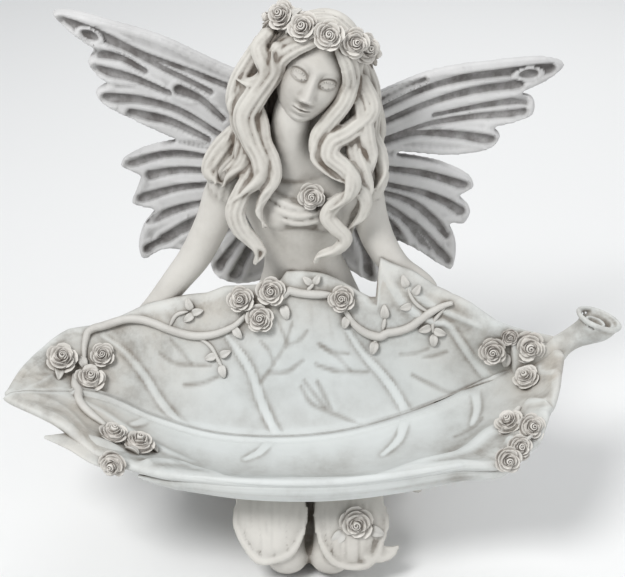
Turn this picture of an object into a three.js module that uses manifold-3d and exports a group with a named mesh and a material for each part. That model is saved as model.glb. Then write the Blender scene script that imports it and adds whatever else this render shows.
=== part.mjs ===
// Kneeling garden fairy with butterfly wings who carries a large leaf dish, cast in one piece.
// Millimetres, +Z up. She looks towards -Y and the origin is on the ground.

import * as THREE from "three";
import { mergeVertices } from "three/addons/utils/BufferGeometryUtils.js";
import Module from "manifold-3d";

// Overall height, from the ground to the roses on her head
const height = 272;

// Walls and small forms
const dishWall = 7;
const dishRim = 8.5;
const ribRise = 1.6;
const veinRadius = 1.5;
const vineRadius = 1.9;
const leafLength = 9;
const roseRadius = 5.2;
const wingThickness = 6;
const wingBevel = 1.8;
const grooveWidth = 3.4;
const grooveDepth = 2.4;
const petalThickness = 5;
const dishBelly = 4;
const fingerRadius = 2.5;
const mouthRadius = 11.5;
const mouthWall = 2.2;
const mouthDepth = 5;
const spiralSteps = 9;
const wingRoot = 46;
const wingSlant = 0.2;
const sleevePleats = 5;

// A closed, flat plug fills the casting under the skirt
const plugHeight = 30;
const plugHalfWidth = 31;
const plugHalfDepth = 38;
const plugMiddle = 26;

// The bell of the skirt, and how its petals are creased
const skirtPetals = 7;
const petalSteps = 2;
const petalCrease = 0.07;
const hemRise = 9;
const bellHalfWidth = [24, 31, 40, 45, 46, 44];
const bellHalfDepth = [19, 23, 30, 36, 39, 38];
const bellTop = [0, 34, 108];
const bellHem = [0, 28, 13];

// Nothing of the figure stands in the dish up to this height
const roomTop = 134;

// Slivers that a join leaves where two faces graze each other, in cubic millimetres
const crumbVolume = 1;

// The pose and the carving are shares of the height: places are written for a figure 272 mm tall
const sculptedHeight = 272;
const scale = height / sculptedHeight;

const wasm = await Module();
wasm.setup();

function at(x, y, z) {
  return new THREE.Vector3(x, y, z).multiplyScalar(scale);
}

function curve(points) {
  return new THREE.CatmullRomCurve3(points.map((p) => at(...p)), false, "centripetal");
}

function solid(geometry) {
  geometry.deleteAttribute("normal");
  geometry.deleteAttribute("uv");
  const merged = mergeVertices(geometry, 1e-4);
  const corners = merged.index.array;
  const triangles = [];
  for (let i = 0; i < corners.length; i += 3) {
    const [a, b, c] = corners.slice(i, i + 3);
    if (a !== b && b !== c && c !== a) triangles.push(a, b, c);
  }
  const mesh = new wasm.Mesh({
    numProp: 3,
    vertProperties: merged.attributes.position.array,
    triVerts: new Uint32Array(triangles),
  });
  return new wasm.Manifold(mesh);
}

function join(solids) {
  return wasm.Manifold.union(solids);
}

function between(values, t) {
  if (!Array.isArray(values)) return values;
  const place = t * (values.length - 1);
  const step = Math.min(Math.floor(place), values.length - 2);
  return THREE.MathUtils.lerp(values[step], values[step + 1], place - step);
}

// A tube or flattened lobe along a route. Widths and depths are half sizes of its section,
// face is the way its flat side looks, cup bends the edges back and ridges groove the surface.
function sweep(points, widths, depths, options = {}) {
  const { face = [0, -1, 0], around = 8, along = 8, cup = 0, ridges = 0 } = options;
  const route = curve(points);
  const geometry = new THREE.SphereGeometry(1, around, along);
  const position = geometry.attributes.position;
  const look = new THREE.Vector3(...face);
  for (let i = 0; i < position.count; i++) {
    const row = Math.floor(i / (around + 1));
    const column = (i % (around + 1)) % around;
    const t = THREE.MathUtils.clamp((row - 1) / (along - 2), 0, 1);
    const forward = route.getTangent(t);
    const out = look.clone().addScaledVector(forward, -look.dot(forward)).normalize();
    const side = new THREE.Vector3().crossVectors(forward, out);
    const width = between(widths, t) * scale;
    const depth = between(depths, t) * scale;
    const point = route.getPoint(t);
    if (row === 0 || row === along) {
      const reach = 0.5 * Math.min(width, depth) * (row === 0 ? -1 : 1);
      point.addScaledVector(forward, reach).addScaledVector(out, -cup * width * 0.3);
    } else {
      const angle = (column / around) * 2 * Math.PI;
      const groove = 1 + (column % 2 === 0 ? ridges : -ridges);
      const across = Math.cos(angle) * groove;
      point.addScaledVector(side, width * across);
      point.addScaledVector(out, depth * Math.sin(angle) * groove - cup * width * across * across);
    }
    position.setXYZ(i, point.x, point.y, point.z);
  }
  return solid(geometry);
}

function ball([x, y, z], [a, b, c], around = 8, along = 6) {
  const geometry = new THREE.SphereGeometry(scale, around, along);
  geometry.scale(a, b, c);
  geometry.translate(x * scale, y * scale, z * scale);
  return solid(geometry);
}

// An open rose: a ring of petals round a bud that is turned against it
const rosePetals = [[0, -0.8], [1, 0.15], [0.6, 0.08], [0.52, 0.55], [0, 0.66]];

function rose(place, towards, radius = roseRadius) {
  const sides = 5;
  const geometry = new THREE.LatheGeometry(rosePetals.map(([r, h]) => new THREE.Vector2(r, h)), sides);
  const position = geometry.attributes.position;
  for (let i = 0; i < position.count; i++) {
    const ring = i % rosePetals.length;
    const petal = Math.floor(i / rosePetals.length) % sides;
    const angle = (petal / sides) * 2 * Math.PI + Math.ceil(ring / 2) * 0.6;
    const reach = rosePetals[ring][0];
    position.setXYZ(i, reach * Math.sin(angle), rosePetals[ring][1], reach * Math.cos(angle));
  }
  const up = new THREE.Vector3(...towards).normalize();
  geometry.scale(radius, radius, radius);
  geometry.applyQuaternion(new THREE.Quaternion().setFromUnitVectors(new THREE.Vector3(0, 1, 0), up));
  geometry.translate(place.x, place.y, place.z);
  return solid(geometry);
}

function leaf(place, along, up, length = leafLength) {
  const geometry = new THREE.SphereGeometry(0.5, 4, 2);
  geometry.scale(length * 0.5, length, length * 0.34);
  const forward = new THREE.Vector3(...along).normalize();
  const top = new THREE.Vector3(...up);
  const side = new THREE.Vector3().crossVectors(forward, top).normalize();
  top.crossVectors(side, forward);
  geometry.applyMatrix4(new THREE.Matrix4().makeBasis(side, forward, top));
  geometry.translate(place.x, place.y, place.z);
  return solid(geometry);
}

// The leaf dish is a sheet between its front rim, its midrib and its back rim
const midrib = curve([
  [-149, -43, 90], [-108, -25, 77], [-79, -28, 65], [-44, -34, 58],
  [12, -31, 57], [62, -17, 65], [104, -6, 82], [130, -5, 97],
]);
const frontRim = curve([
  [-150, -45, 90], [-124, -58, 85], [-98, -77, 76], [-50, -86, 70],
  [14, -89, 70], [68, -82, 73], [103, -78, 78], [121, -48, 88], [131, -14, 96],
]);
const backRim = curve([
  [-150, -41, 90], [-144, -19, 94], [-130, 0, 99], [-97, 9, 107], [-65, 11, 119], [-30, 7, 126],
  [8, 9, 128], [40, 4, 121], [73, 2, 119], [100, -6, 110], [130, -1, 101],
]);

// s runs from the leaf's tip to its stem, t from the front rim (-1) to the back rim (1)
function dishPoint(s, t) {
  const middle = midrib.getPointAt(s);
  const edge = (t >= 0 ? backRim : frontRim).getPointAt(s);
  const out = Math.abs(t);
  const point = middle.clone().lerp(edge, t >= 0 ? out ** 0.85 : out);
  point.z = THREE.MathUtils.lerp(middle.z, edge.z, out ** (t >= 0 ? 1.5 : 3));
  if (t < 0) point.z -= dishBelly * scale * Math.sin(Math.PI * out) * Math.sin(Math.PI * s);
  return point;
}

function dishNormal(s, t) {
  const step = 0.01;
  const [s0, s1] = [Math.max(s - step, 0), Math.min(s + step, 1)];
  const [t0, t1] = [Math.max(t - step, -1), Math.min(t + step, 1)];
  const along = dishPoint(s1, t).sub(dishPoint(s0, t));
  const across = dishPoint(s, t1).sub(dishPoint(s, t0));
  return along.cross(across).normalize();
}

function onDish(s, t, lift = 0) {
  return dishPoint(s, t).addScaledVector(dishNormal(s, t), dishWall / 2 + lift);
}

const dishRows = [-1, -0.9, -0.5, -0.06, 0, 0.07, 0.38, 0.7, 0.91, 1];
const dishColumns = 17;

function dishSheet() {
  const rows = dishRows.length - 1;
  const geometry = new THREE.BoxGeometry(1, 1, 1, dishColumns, rows, 1);
  const position = geometry.attributes.position;
  for (let i = 0; i < position.count; i++) {
    const s = Math.round((position.getX(i) + 0.5) * dishColumns) / dishColumns;
    const t = dishRows[Math.round((position.getY(i) + 0.5) * rows)];
    const top = position.getZ(i) > 0;
    const wall = Math.abs(t) > 0.85 ? dishRim : dishWall;
    const rib = top && t === 0 ? ribRise : 0;
    const point = dishPoint(s, t).addScaledVector(dishNormal(s, t), (top ? wall : -wall) / 2 + rib);
    position.setXYZ(i, point.x, point.y, point.z);
  }
  return solid(geometry);
}

// A raised rope on the dish along places given as shares of its length and breadth
function dishRope(places, radius) {
  const points = places.map(([s, t]) => onDish(s, t, radius * 0.3).divideScalar(scale).toArray());
  const size = radius / scale;
  return sweep(points, [size, size, size * 0.6], size, { around: 4, along: places.length + 2 });
}

const veins = [
  [[0.31, 0.02], [0.28, 0.35], [0.214, 0.89]],
  [[0.475, 0.02], [0.46, 0.4], [0.421, 0.82]],
  [[0.704, 0], [0.68, 0.4], [0.629, 0.8]],
  [[0.86, 0.12], [0.835, 0.5], [0.782, 0.88]],
];
const vines = [
  [[0.179, 0.71], [0.2, 0.9], [0.26, 0.96], [0.33, 0.82], [0.396, 0.76], [0.46, 0.86]],
  [[0.5, 0.93], [0.55, 0.9], [0.596, 0.89]],
  [[0.643, 0.84], [0.668, 0.8], [0.704, 0.8], [0.74, 0.88], [0.79, 0.96]],
  [[0.382, 0.76], [0.4, 0.71], [0.411, 0.64]],
];
const dishLeaves = [
  [0.375, 0.93], [0.404, 0.63], [0.427, 0.66], [0.7, 0.9], [0.682, 0.74], [0.736, 0.9], [0.764, 0.8],
  [0.114, 0.5],
];
const dishRoses = [
  [0.466, 0.94], [0.513, 0.965], [0.491, 0.84], [0.628, 0.92], [0.137, 0.74], [0.212, 0.69], [0.163, 0.29],
  [0.19, -0.6], [0.232, -0.58], [0.195, -0.93], [0.88, 0.66], [0.934, 0.66], [0.918, -0.28], [0.908, 0.9],
  [0.862, -0.72], [0.865, -0.95], [0.825, -0.95], [0.795, -0.93],
];

function dish() {
  const parts = [dishSheet()];
  veins.forEach((places) => parts.push(dishRope(places, veinRadius)));
  vines.forEach((places) => parts.push(dishRope(places, vineRadius)));
  dishLeaves.forEach(([s, t], i) => {
    const turn = i * 2.4;
    parts.push(leaf(onDish(s, t, 0.6), [Math.cos(turn), Math.sin(turn), 0.2], dishNormal(s, t).toArray()));
  });
  dishRoses.forEach(([s, t]) => {
    const towards = dishNormal(s, t).add(new THREE.Vector3(0, -0.35, 0.35));
    parts.push(rose(onDish(s, t, roseRadius * 0.5), towards.toArray()));
  });
  // The pointed lobe at the tip, the flap that laps over her forearm and the thick wall under the lip
  const lobe = [[-94, -73, 76], [-110, -67.5, 79.5], [-126, -63, 79]];
  parts.push(sweep(lobe, [8, 8, 1.5], 3, { face: [0, 0, 1], around: 6, along: 4 }));
  const flap = [[46, 2, 112], [45, 7, 124], [43, 10, 133], [40, 11, 142]];
  parts.push(sweep(flap, [13, 12, 8, 1.5], 3, { around: 6, along: 5 }));
  const under = [0.24, 0.4, 0.54, 0.68, 0.8].map((s) => {
    const [x, y, z] = dishPoint(s, -0.97).divideScalar(scale).toArray();
    return [x, y + 2.2, z - 4.6];
  });
  parts.push(sweep(under, [2, 5.6, 6, 5.6, 2], 3, { face: [0, -1, -0.25], around: 5, along: 6 }));
  return join(parts);
}

// The leaf's stem opens into a cup with a spiral in its mouth
const mouthCentre = [150, -3, 111];
const mouthFace = [0.36, -0.1, 0.93];

function stem() {
  const bend = [[114, -7, 91], [128, -4, 95.5], [138, -2.5, 99.5], [145, -2.5, 105], mouthCentre];
  const widths = [12, 8, 7, 8.5, mouthRadius];
  const depths = [5, 6, 6, 7.5, mouthRadius];
  const cup = sweep(bend, widths, depths, { around: 10, along: 7 });
  const face = new THREE.Vector3(...mouthFace).normalize();
  const turn = new THREE.Quaternion().setFromUnitVectors(new THREE.Vector3(0, 1, 0), face);
  const centre = at(...mouthCentre);
  const inner = mouthRadius * scale - mouthWall;
  const above = mouthRadius * scale;
  const hollow = new THREE.CylinderGeometry(inner * 1.2, inner * 0.75, above + mouthDepth, 10);
  hollow.translate(0, (above - mouthDepth) / 2, 0);
  hollow.applyQuaternion(turn);
  hollow.translate(centre.x, centre.y, centre.z);
  const spiral = [];
  for (let i = 0; i < spiralSteps; i++) {
    const angle = i * 0.9;
    const reach = mouthRadius * (0.62 - 0.055 * i);
    const place = new THREE.Vector3(reach * Math.cos(angle), -mouthDepth / scale, reach * Math.sin(angle));
    spiral.push(place.applyQuaternion(turn).add(new THREE.Vector3(...mouthCentre)).toArray());
  }
  const curl = sweep(spiral, 1.1, 2.6, { face: mouthFace, around: 4, along: spiralSteps });
  return cup.subtract(solid(hollow)).add(curl);
}

// Wings are flat castings that stand back from her shoulders, each with scalloped lobes
function wingDepth(x) {
  return wingRoot + wingSlant * Math.abs(x);
}

function wing(lobes, grooves) {
  const shape = new THREE.Shape();
  lobes.forEach((lobe, i) => {
    const points = lobe.map(([x, z]) => new THREE.Vector2(x, z).multiplyScalar(scale));
    if (i === 0) shape.moveTo(points[0].x, points[0].y);
    shape.splineThru(points.slice(1));
  });
  const geometry = new THREE.ExtrudeGeometry(shape, {
    depth: wingThickness - 2 * wingBevel,
    bevelEnabled: true,
    bevelSegments: 1,
    bevelSize: wingBevel,
    bevelThickness: wingBevel,
    bevelOffset: -wingBevel,
    curveSegments: 1,
  });
  geometry.rotateX(Math.PI / 2);
  const position = geometry.attributes.position;
  for (let i = 0; i < position.count; i++) {
    const back = wingDepth(position.getX(i) / scale) * scale + wingThickness / 2 - wingBevel;
    position.setY(i, position.getY(i) + back);
  }
  const cutters = grooves.map((points) => {
    const line = points.map(([x, z]) => [x, wingDepth(x) - wingThickness / 2 / scale, z]);
    const half = grooveWidth / 2 / scale;
    const depth = grooveDepth / scale;
    return sweep(line, [half * 0.4, half, half], depth, { around: 4, along: points.length + 1 });
  });
  return solid(geometry).subtract(join(cutters));
}

const wings = [
  {
    lobes: [
      [[-14, 220], [-39, 227], [-76, 242], [-101, 248], [-120, 252], [-131, 251], [-121, 240], [-110, 233]],
      [[-110, 233], [-114, 226], [-110, 219], [-104, 215]],
      [[-104, 215], [-111, 210], [-108, 204], [-90, 195], [-67, 186], [-43, 182], [-14, 180], [-14, 220]],
    ],
    grooves: [
      [[-124, 246], [-86, 232], [-42, 218]], [[-103, 237], [-76, 225], [-50, 215]],
      [[-112, 231], [-96, 229], [-84, 223]], [[-109, 222], [-92, 219], [-77, 215]],
      [[-104, 207], [-88, 207], [-68, 203], [-44, 190]],
    ],
  },
  {
    lobes: [
      [[14, 205], [33, 213], [65, 224], [98, 227], [124, 227], [134, 223], [125, 215], [111, 209]],
      [[111, 209], [119, 205], [119, 197], [109, 193], [97, 191]],
      [[97, 191], [102, 186], [98, 180], [80, 177], [41, 182], [14, 180], [14, 205]],
    ],
    grooves: [
      [[124, 221], [78, 219], [58, 214], [36, 205]], [[108, 214], [81, 210], [60, 206]],
      [[112, 203], [90, 203], [70, 200]], [[112, 197], [70, 195], [40, 190]],
      [[96, 184], [72, 187], [45, 186]],
    ],
  },
  {
    lobes: [
      [[-14, 188], [-43, 186], [-70, 185], [-92, 177], [-100, 170], [-89, 164]],
      [[-89, 164], [-93, 154], [-95, 148], [-82, 145]],
      [[-82, 145], [-90, 134], [-93, 122], [-91, 115], [-78, 122], [-64, 121], [-54, 118]],
      [[-54, 118], [-51, 109], [-41, 105], [-26, 108], [-14, 120], [-14, 188]],
    ],
    grooves: [
      [[-94, 171], [-73, 177], [-50, 176]], [[-82, 165], [-68, 168], [-46, 168]],
      [[-88, 151], [-68, 158], [-48, 162]], [[-86, 137], [-66, 146], [-46, 152]],
      [[-86, 121], [-66, 132], [-46, 142]],
    ],
  },
  {
    lobes: [
      [[14, 186], [44, 180], [70, 173], [87, 163], [89, 158], [81, 153]],
      [[81, 153], [88, 144], [85, 137], [76, 138]],
      [[76, 138], [81, 125], [79, 110], [70, 115], [60, 123], [48, 130]],
      [[48, 130], [46, 114], [37, 106], [26, 112], [14, 124], [14, 186]],
    ],
    grooves: [
      [[84, 159], [60, 168], [40, 172]], [[82, 145], [65, 154], [44, 163]],
      [[75, 130], [56, 150], [38, 158]], [[76, 115], [58, 136], [40, 150]],
    ],
  },
];

// Head: built upright about its own centre, then set on the neck with a tilt
const headTilt = THREE.MathUtils.degToRad(21);
const headCentre = at(3, 17, 238);
const headPlace = new THREE.Matrix4().makeRotationY(headTilt).setPosition(headCentre);

function head() {
  const geometry = new THREE.SphereGeometry(1, 12, 9);
  geometry.rotateX(Math.PI / 2);
  const position = geometry.attributes.position;
  for (let i = 0; i < position.count; i++) {
    const [x, y, z] = [position.getX(i), position.getY(i), position.getZ(i)];
    const low = Math.max(-z, 0);
    const side = 17.5 * x * (1 - 0.16 * low ** 2);
    const front = (y < 0 ? 17 : 21) * y * (1 - 0.12 * low ** 2) - 9 * low ** 2.5;
    position.setXYZ(i, side * scale, front * scale, 26 * z * scale);
  }
  const nose = [[0, -15.5, 5], [0, -18.5, -3], [0, -20.5, -9], [0, -17, -11]];
  const upperLip = [[-6, -13.6, -15.6], [0, -16.2, -15.2], [6, -13.6, -15.6]];
  const lowerLip = [[-5, -13.4, -16.6], [0, -15.8, -17.6], [5, -13.4, -16.6]];
  const features = [
    sweep(nose, [1.8, 1.8, 3, 2], [1.5, 2, 2.6, 1.5], { around: 5, along: 5 }),
    sweep(upperLip, [0.6, 1.1, 0.6], 1.3, { around: 4, along: 5 }),
    sweep(lowerLip, [0.6, 1.2, 0.6], 1.4, { around: 4, along: 5 }),
  ];
  const eyes = [-7.4, 7.4].map((x) => ball([x, -13.4, -1], [3.6, 2.6, 2.2], 6, 4));
  const sockets = [-7.4, 7.4].map((x) => ball([x, -16.4, -0.6], [4.6, 2.6, 3.4], 6, 4));
  const face = solid(geometry).subtract(join(sockets)).add(join([...features, ...eyes]));
  return face.transform(headPlace.elements);
}

// Hair: a cap over the skull, a mass down her back and single wavy locks
const locks = [
  {
    route: [
      [-18, 12, 258], [-23, 10, 252], [-21, 8, 246], [-19, 8, 240], [-24, 8, 235], [-31, 10, 234],
      [-36, 14, 236],
    ],
    size: 4.5,
  },
  {
    route: [
      [-19, 24, 256], [-27, 20, 243], [-36, 16, 231], [-38, 15, 222], [-34, 15, 211],
      [-35, 15, 200], [-40, 14, 188],
    ],
    size: 6,
  },
  {
    route: [
      [-13, 8, 252], [-17, 8, 240], [-25, 8, 228], [-30, 8, 218], [-27, 7, 206], [-23, 5, 197],
      [-23, 4, 188], [-29, 4, 181], [-36, 6, 175],
    ],
    size: 6,
  },
  {
    route: [
      [-27, 9, 190], [-33, 5, 178], [-36, 3, 169], [-33, 2, 160], [-28, 2, 154], [-24, 2, 148],
      [-27, 2, 141],
    ],
    size: 5,
  },
  {
    route: [
      [-36, 22, 204], [-44, 20, 193], [-48, 18, 185], [-45, 14, 180],
    ],
    size: 7,
  },
  {
    route: [
      [23, 10, 246], [21, 8, 236], [18, 7, 226], [11, 7, 216], [5, 7, 207], [5, 6, 198],
      [12, 4, 191], [19, 3, 186],
    ],
    size: 5,
  },
  {
    route: [
      [26, 14, 234], [31, 12, 220], [21, 9, 210], [12, 6, 205], [11, 4, 199], [18, 2, 193],
      [23, 1, 186], [21, 0, 179], [13, 0, 173],
    ],
    size: 5.5,
  },
  {
    route: [
      [21, 0, 180], [13, 0, 174], [10, 0, 168], [14, 0, 162], [19, 0, 156], [15, 0, 150],
      [7, 0, 147], [3, 1, 142],
    ],
    size: 4,
  },
  {
    route: [
      [26, 24, 240], [31, 22, 227], [32, 21, 214], [33, 19, 204], [39, 17, 196], [41, 15, 186],
      [38, 13, 177],
    ],
    size: 7,
  },
  {
    route: [
      [26, 15, 210], [23, 10, 200], [28, 7, 190], [33, 7, 180],
    ],
    size: 4.5,
  },
];

function hair() {
  const parts = locks.map(({ route, size }) => {
    const half = [size * 0.7, size, size, size * 0.85, size * 0.3];
    return sweep(route, half, size * 0.8, { around: 4, along: route.length });
  });
  parts.push(ball([7, 22, 243], [25, 22, 26], 9, 6));
  const back = [[4, 30, 258], [0, 36, 235], [-2, 38, 205], [-2, 44, 180], [-2, 45, 150], [-2, 44, 128]];
  const breadth = [18, 30, 33, 30, 25, 12];
  const thick = [10, 16, 17, 12, 9, 5];
  parts.push(sweep(back, breadth, thick, { face: [0, 1, 0], around: 12, along: 6, ridges: 0.05 }));
  const sides = [
    [[-24, 24, 240], [-30, 26, 218], [-30, 28, 196], [-26, 30, 180]],
    [[22, 24, 236], [26, 26, 216], [26, 28, 196], [24, 30, 180]],
  ];
  sides.forEach((route) => parts.push(sweep(route, [8, 10, 11, 8], 10, { around: 6, along: 5 })));
  return join(parts);
}

// Roses lie on the hair all round her head
const wreathCentre = [8, 22, 246];
const wreathPlaces = [
  [-13, 11, 265], [-2, 2, 263.5], [10, -2, 260], [21, 2, 253], [28, 10, 247],
  [34, 25, 239], [27, 40, 238], [11, 45, 244], [-8, 40, 252], [-17, 26, 260],
];

function wreath() {
  const centre = at(...wreathCentre);
  const roses = wreathPlaces.map((place) => {
    const spot = at(...place);
    const outward = spot.clone().sub(centre).normalize();
    return rose(spot, outward.toArray(), roseRadius * 1.25);
  });
  const band = [...wreathPlaces, wreathPlaces[0]].map((place) =>
    new THREE.Vector3(...place).lerp(new THREE.Vector3(...wreathCentre), 0.22).toArray());
  return join([...roses, sweep(band, 4, 4, { face: [0.3, 0, 1], around: 4, along: 12 })]);
}

// Folds of the bodice gather round the rose on her chest
const necklines = [
  [[-26, 12, 177], [-16, 8, 173], [-5, 6, 171], [2, 6, 171], [12, 7, 174], [22, 12, 179]],
  [[-26, 11, 171], [-14, 6, 168], [-3, 5, 166], [9, 6, 169], [22, 11, 174]],
];

// Puffed sleeves are gathered in pleats over her shoulders
const sleeves = [
  { route: [[-22, 27, 190], [-31, 24, 188], [-39, 23, 181], [-42, 24, 171]], size: 11.5 },
  { route: [[16, 27, 190], [24, 24, 188], [30, 23, 181], [31, 24, 172]], size: 11 },
];

function sleeve({ route, size }) {
  const half = [size * 0.7, size, size * 1.05, size * 0.8];
  return sweep(route, half, half, { around: sleevePleats * 2, along: 6, ridges: 0.06 });
}

// Body: bare neck, bodice with gathered neckline, arms and folded legs
function body() {
  const neck = [[-4, 25, 178], [-7, 21, 190], [-9, 18, 203], [-6, 17, 218]];
  const trunk = [
    [-3, 27, 190], [-4, 26, 183], [-4, 25, 172], [-4, 24, 160], [-3, 25, 138],
    [-1, 28, 118], [0, 31, 98], [0, 33, 72], [0, 35, 45],
  ];
  const trunkWidths = [14, 31, 36, 29, 20, 25, 32, 37, 38];
  const trunkDepths = [10, 15, 18, 18, 15, 18, 24, 29, 28];
  const parts = [
    sweep(neck, [15, 11, 9.6, 9.6], [9, 9, 9, 9.4], { around: 8, along: 6 }),
    sweep(trunk, trunkWidths, trunkDepths, { around: 9, along: 9 }),
    ball([-13, 15, 164], [12, 8, 11], 6, 5),
    ball([7, 15, 164], [12, 8, 11], 6, 5),
  ];
  necklines.forEach((route) => parts.push(sweep(route, 2, 2, { around: 4, along: 6 })));
  sleeves.forEach((each) => parts.push(sleeve(each)));
  return join(parts);
}

// Each arm goes down behind the dish and ends in a hand spread under it
const arms = [
  {
    route: [[-30, 26, 180], [-41, 26, 174], [-49, 24, 154], [-58, 20, 137], [-68, 18, 124], [-79, 16, 110]],
    hand: 0.235,
  },
  {
    route: [[22, 26, 180], [29, 26, 170], [32, 24, 158], [37, 20, 145], [46, 17, 132], [62, 14, 118]],
    hand: 0.74,
  },
];

// Where the fingers lie, as shares of the dish's length from the middle of the hand
const fingers = [-0.036, -0.012, 0.012, 0.036];

function underDish(s, t, drop) {
  const under = dishPoint(s, t).addScaledVector(dishNormal(s, t), -dishWall / 2 - drop * scale);
  return under.divideScalar(scale).toArray();
}

function arm({ route, hand }) {
  const way = [...route, underDish(hand, 0.7, 5), underDish(hand, 0.5, 3.5), underDish(hand, 0.36, 2.5)];
  const widths = [10, 9.5, 9, 8.5, 7.5, 7, 7, 8, 7];
  const depths = [10, 9.5, 9, 8.5, 7.5, 6.5, 5, 4, 3.5];
  const parts = [sweep(way, widths, depths, { around: 6, along: 8 })];
  fingers.forEach((spread) => {
    const s = hand + spread;
    const knuckle = underDish(hand + spread * 0.8, 0.46, 1.5);
    const line = [knuckle, underDish(s, 0.24, 1.2), underDish(s, 0.06, 1)];
    const half = [fingerRadius, fingerRadius, fingerRadius * 0.7];
    parts.push(sweep(line, half, fingerRadius, { around: 4, along: 4 }));
  });
  return join(parts);
}

function legs() {
  const parts = [-1, 1].map((side) => {
    const thigh = [[side * 17, 10, 34], [side * 17, -16, 31], [side * 16, -42, 24], [side * 16, -56, 15]];
    const shin = [[side * 16, -50, 11], [side * 18, 10, 11], [side * 19, 62, 10], [side * 16, 80, 6]];
    return join([
      sweep(thigh, [17, 17, 16, 14], [17, 17, 15, 14], { face: [0, 0, 1], around: 8, along: 6 }),
      sweep(shin, [13, 14, 10, 6], [11, 13, 9, 5], { face: [0, 0, 1], around: 6, along: 6 }),
    ]);
  });
  const plug = new THREE.CylinderGeometry(1, 1, plugHeight * scale * 2, 12);
  plug.rotateX(Math.PI / 2);
  plug.scale(plugHalfWidth * scale, plugHalfDepth * scale, 1);
  plug.translate(0, plugMiddle * scale, 0);
  return join([...parts, solid(plug)]);
}

// The skirt is a bell of overlapping petals, with long ones over the thighs and at the sides
function bell() {
  const around = skirtPetals * petalSteps;
  const along = bellHalfWidth.length + 1;
  const geometry = new THREE.SphereGeometry(1, around, along);
  const position = geometry.attributes.position;
  for (let i = 0; i < position.count; i++) {
    const row = Math.floor(i / (around + 1));
    const column = (i % (around + 1)) % around;
    const t = THREE.MathUtils.clamp((row - 1) / (along - 2), 0, 1);
    const angle = (column / around) * 2 * Math.PI;
    const border = column % petalSteps === 0;
    const reach = row === 0 || row === along ? 0 : 1 + (border ? -petalCrease : petalCrease) * t;
    const place = at(...bellTop).lerp(at(...bellHem), t);
    place.x += reach * between(bellHalfWidth, t) * Math.cos(angle) * scale;
    place.y += reach * between(bellHalfDepth, t) * Math.sin(angle) * scale;
    if (border && reach > 0) place.z += hemRise * scale * t ** 3;
    position.setXYZ(i, place.x, place.y, place.z);
  }
  return solid(geometry);
}

const longPetals = [
  {
    route: [[-14, 12, 92], [-18, -6, 60], [-20, -34, 49], [-20.5, -58, 40], [-23, -67, 17]],
    breadth: [14, 19, 19, 18, 13],
    face: [0, -1, 0.9],
  },
  {
    route: [[14, 12, 92], [18, -6, 60], [21, -34, 49], [22.5, -59, 39], [29, -68.5, 13]],
    breadth: [14, 19, 19, 18, 15],
    face: [0, -1, 0.9],
  },
  {
    route: [[-22, 20, 96], [-38, 6, 66], [-48, -8, 48], [-56, -22, 23]],
    breadth: [15, 22, 23, 9],
    face: [-1, -0.4, 0.5],
  },
  {
    route: [[22, 20, 96], [38, 6, 66], [48, -8, 48], [57, -22, 23]],
    breadth: [15, 22, 23, 9],
    face: [1, -0.4, 0.5],
  },
  {
    route: [[-26, 36, 96], [-42, 44, 66], [-50, 50, 42], [-54, 54, 16]],
    breadth: [15, 21, 22, 9],
    face: [-1, 0.5, 0.3],
  },
  {
    route: [[26, 36, 96], [42, 44, 66], [50, 50, 42], [54, 54, 16]],
    breadth: [15, 21, 22, 9],
    face: [1, 0.5, 0.3],
  },
];

function skirt() {
  const half = petalThickness / 2 / scale;
  const hanging = longPetals.map(({ route, breadth, face }) =>
    sweep(route, breadth, half, { face, around: 6, along: route.length + 1, cup: 0.16 }));
  return join([bell(), ...hanging]);
}

// Single roses stand on the bodice and on the middle of a petal
const singleRoses = [
  { spot: [2, 8.6, 177], towards: [0, -1, 0.2], cover: 0 },
  { spot: [23.5, -60.3, 32.5], towards: [0, -1, 0.35], cover: petalThickness / 2 },
];
const skirtLeaf = { spot: [16, -62.5, 27], along: [-0.6, 0, -0.8], up: [0, -1, 0.2] };

function standingOn(spot, towards, rise) {
  return at(...spot).addScaledVector(new THREE.Vector3(...towards).normalize(), rise);
}

// The room inside the dish: nothing of the figure comes up through its floor
function dishRoom() {
  const rows = dishRows.length - 1;
  const geometry = new THREE.BoxGeometry(1, 1, 1, dishColumns, rows, 1);
  const position = geometry.attributes.position;
  for (let i = 0; i < position.count; i++) {
    const s = Math.round((position.getX(i) + 0.5) * dishColumns) / dishColumns;
    const t = dishRows[Math.round((position.getY(i) + 0.5) * rows)];
    const point = dishPoint(s, t);
    if (position.getZ(i) > 0) point.z = roomTop * scale;
    position.setXYZ(i, point.x, point.y, point.z);
  }
  return solid(geometry);
}

function ground() {
  const depth = 100 * scale;
  const geometry = new THREE.BoxGeometry(400 * scale, 400 * scale, depth);
  geometry.translate(0, 0, -depth / 2);
  return solid(geometry);
}

function statue() {
  const figure = join([body(), ...arms.map(arm), legs(), skirt()]).subtract(dishRoom());
  const parts = [figure, head(), hair(), wreath(), dish(), stem()];
  wings.forEach(({ lobes, grooves }) => parts.push(wing(lobes, grooves)));
  singleRoses.forEach(({ spot, towards, cover }) => {
    const place = standingOn(spot, towards, cover + roseRadius / 2);
    parts.push(rose(place, towards, roseRadius * 1.15));
  });
  const leafPlace = standingOn(skirtLeaf.spot, skirtLeaf.up, petalThickness / 2);
  parts.push(leaf(leafPlace, skirtLeaf.along, skirtLeaf.up, leafLength * 1.3));
  // Her wings' roots join behind the back
  parts.push(ball([-2, 42, 182], [26, 14, 40], 8, 6));
  return withoutCrumbs(join(parts).subtract(ground()));
}

function withoutCrumbs(whole) {
  return join(whole.decompose().filter((piece) => piece.volume() > crumbVolume));
}

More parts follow.
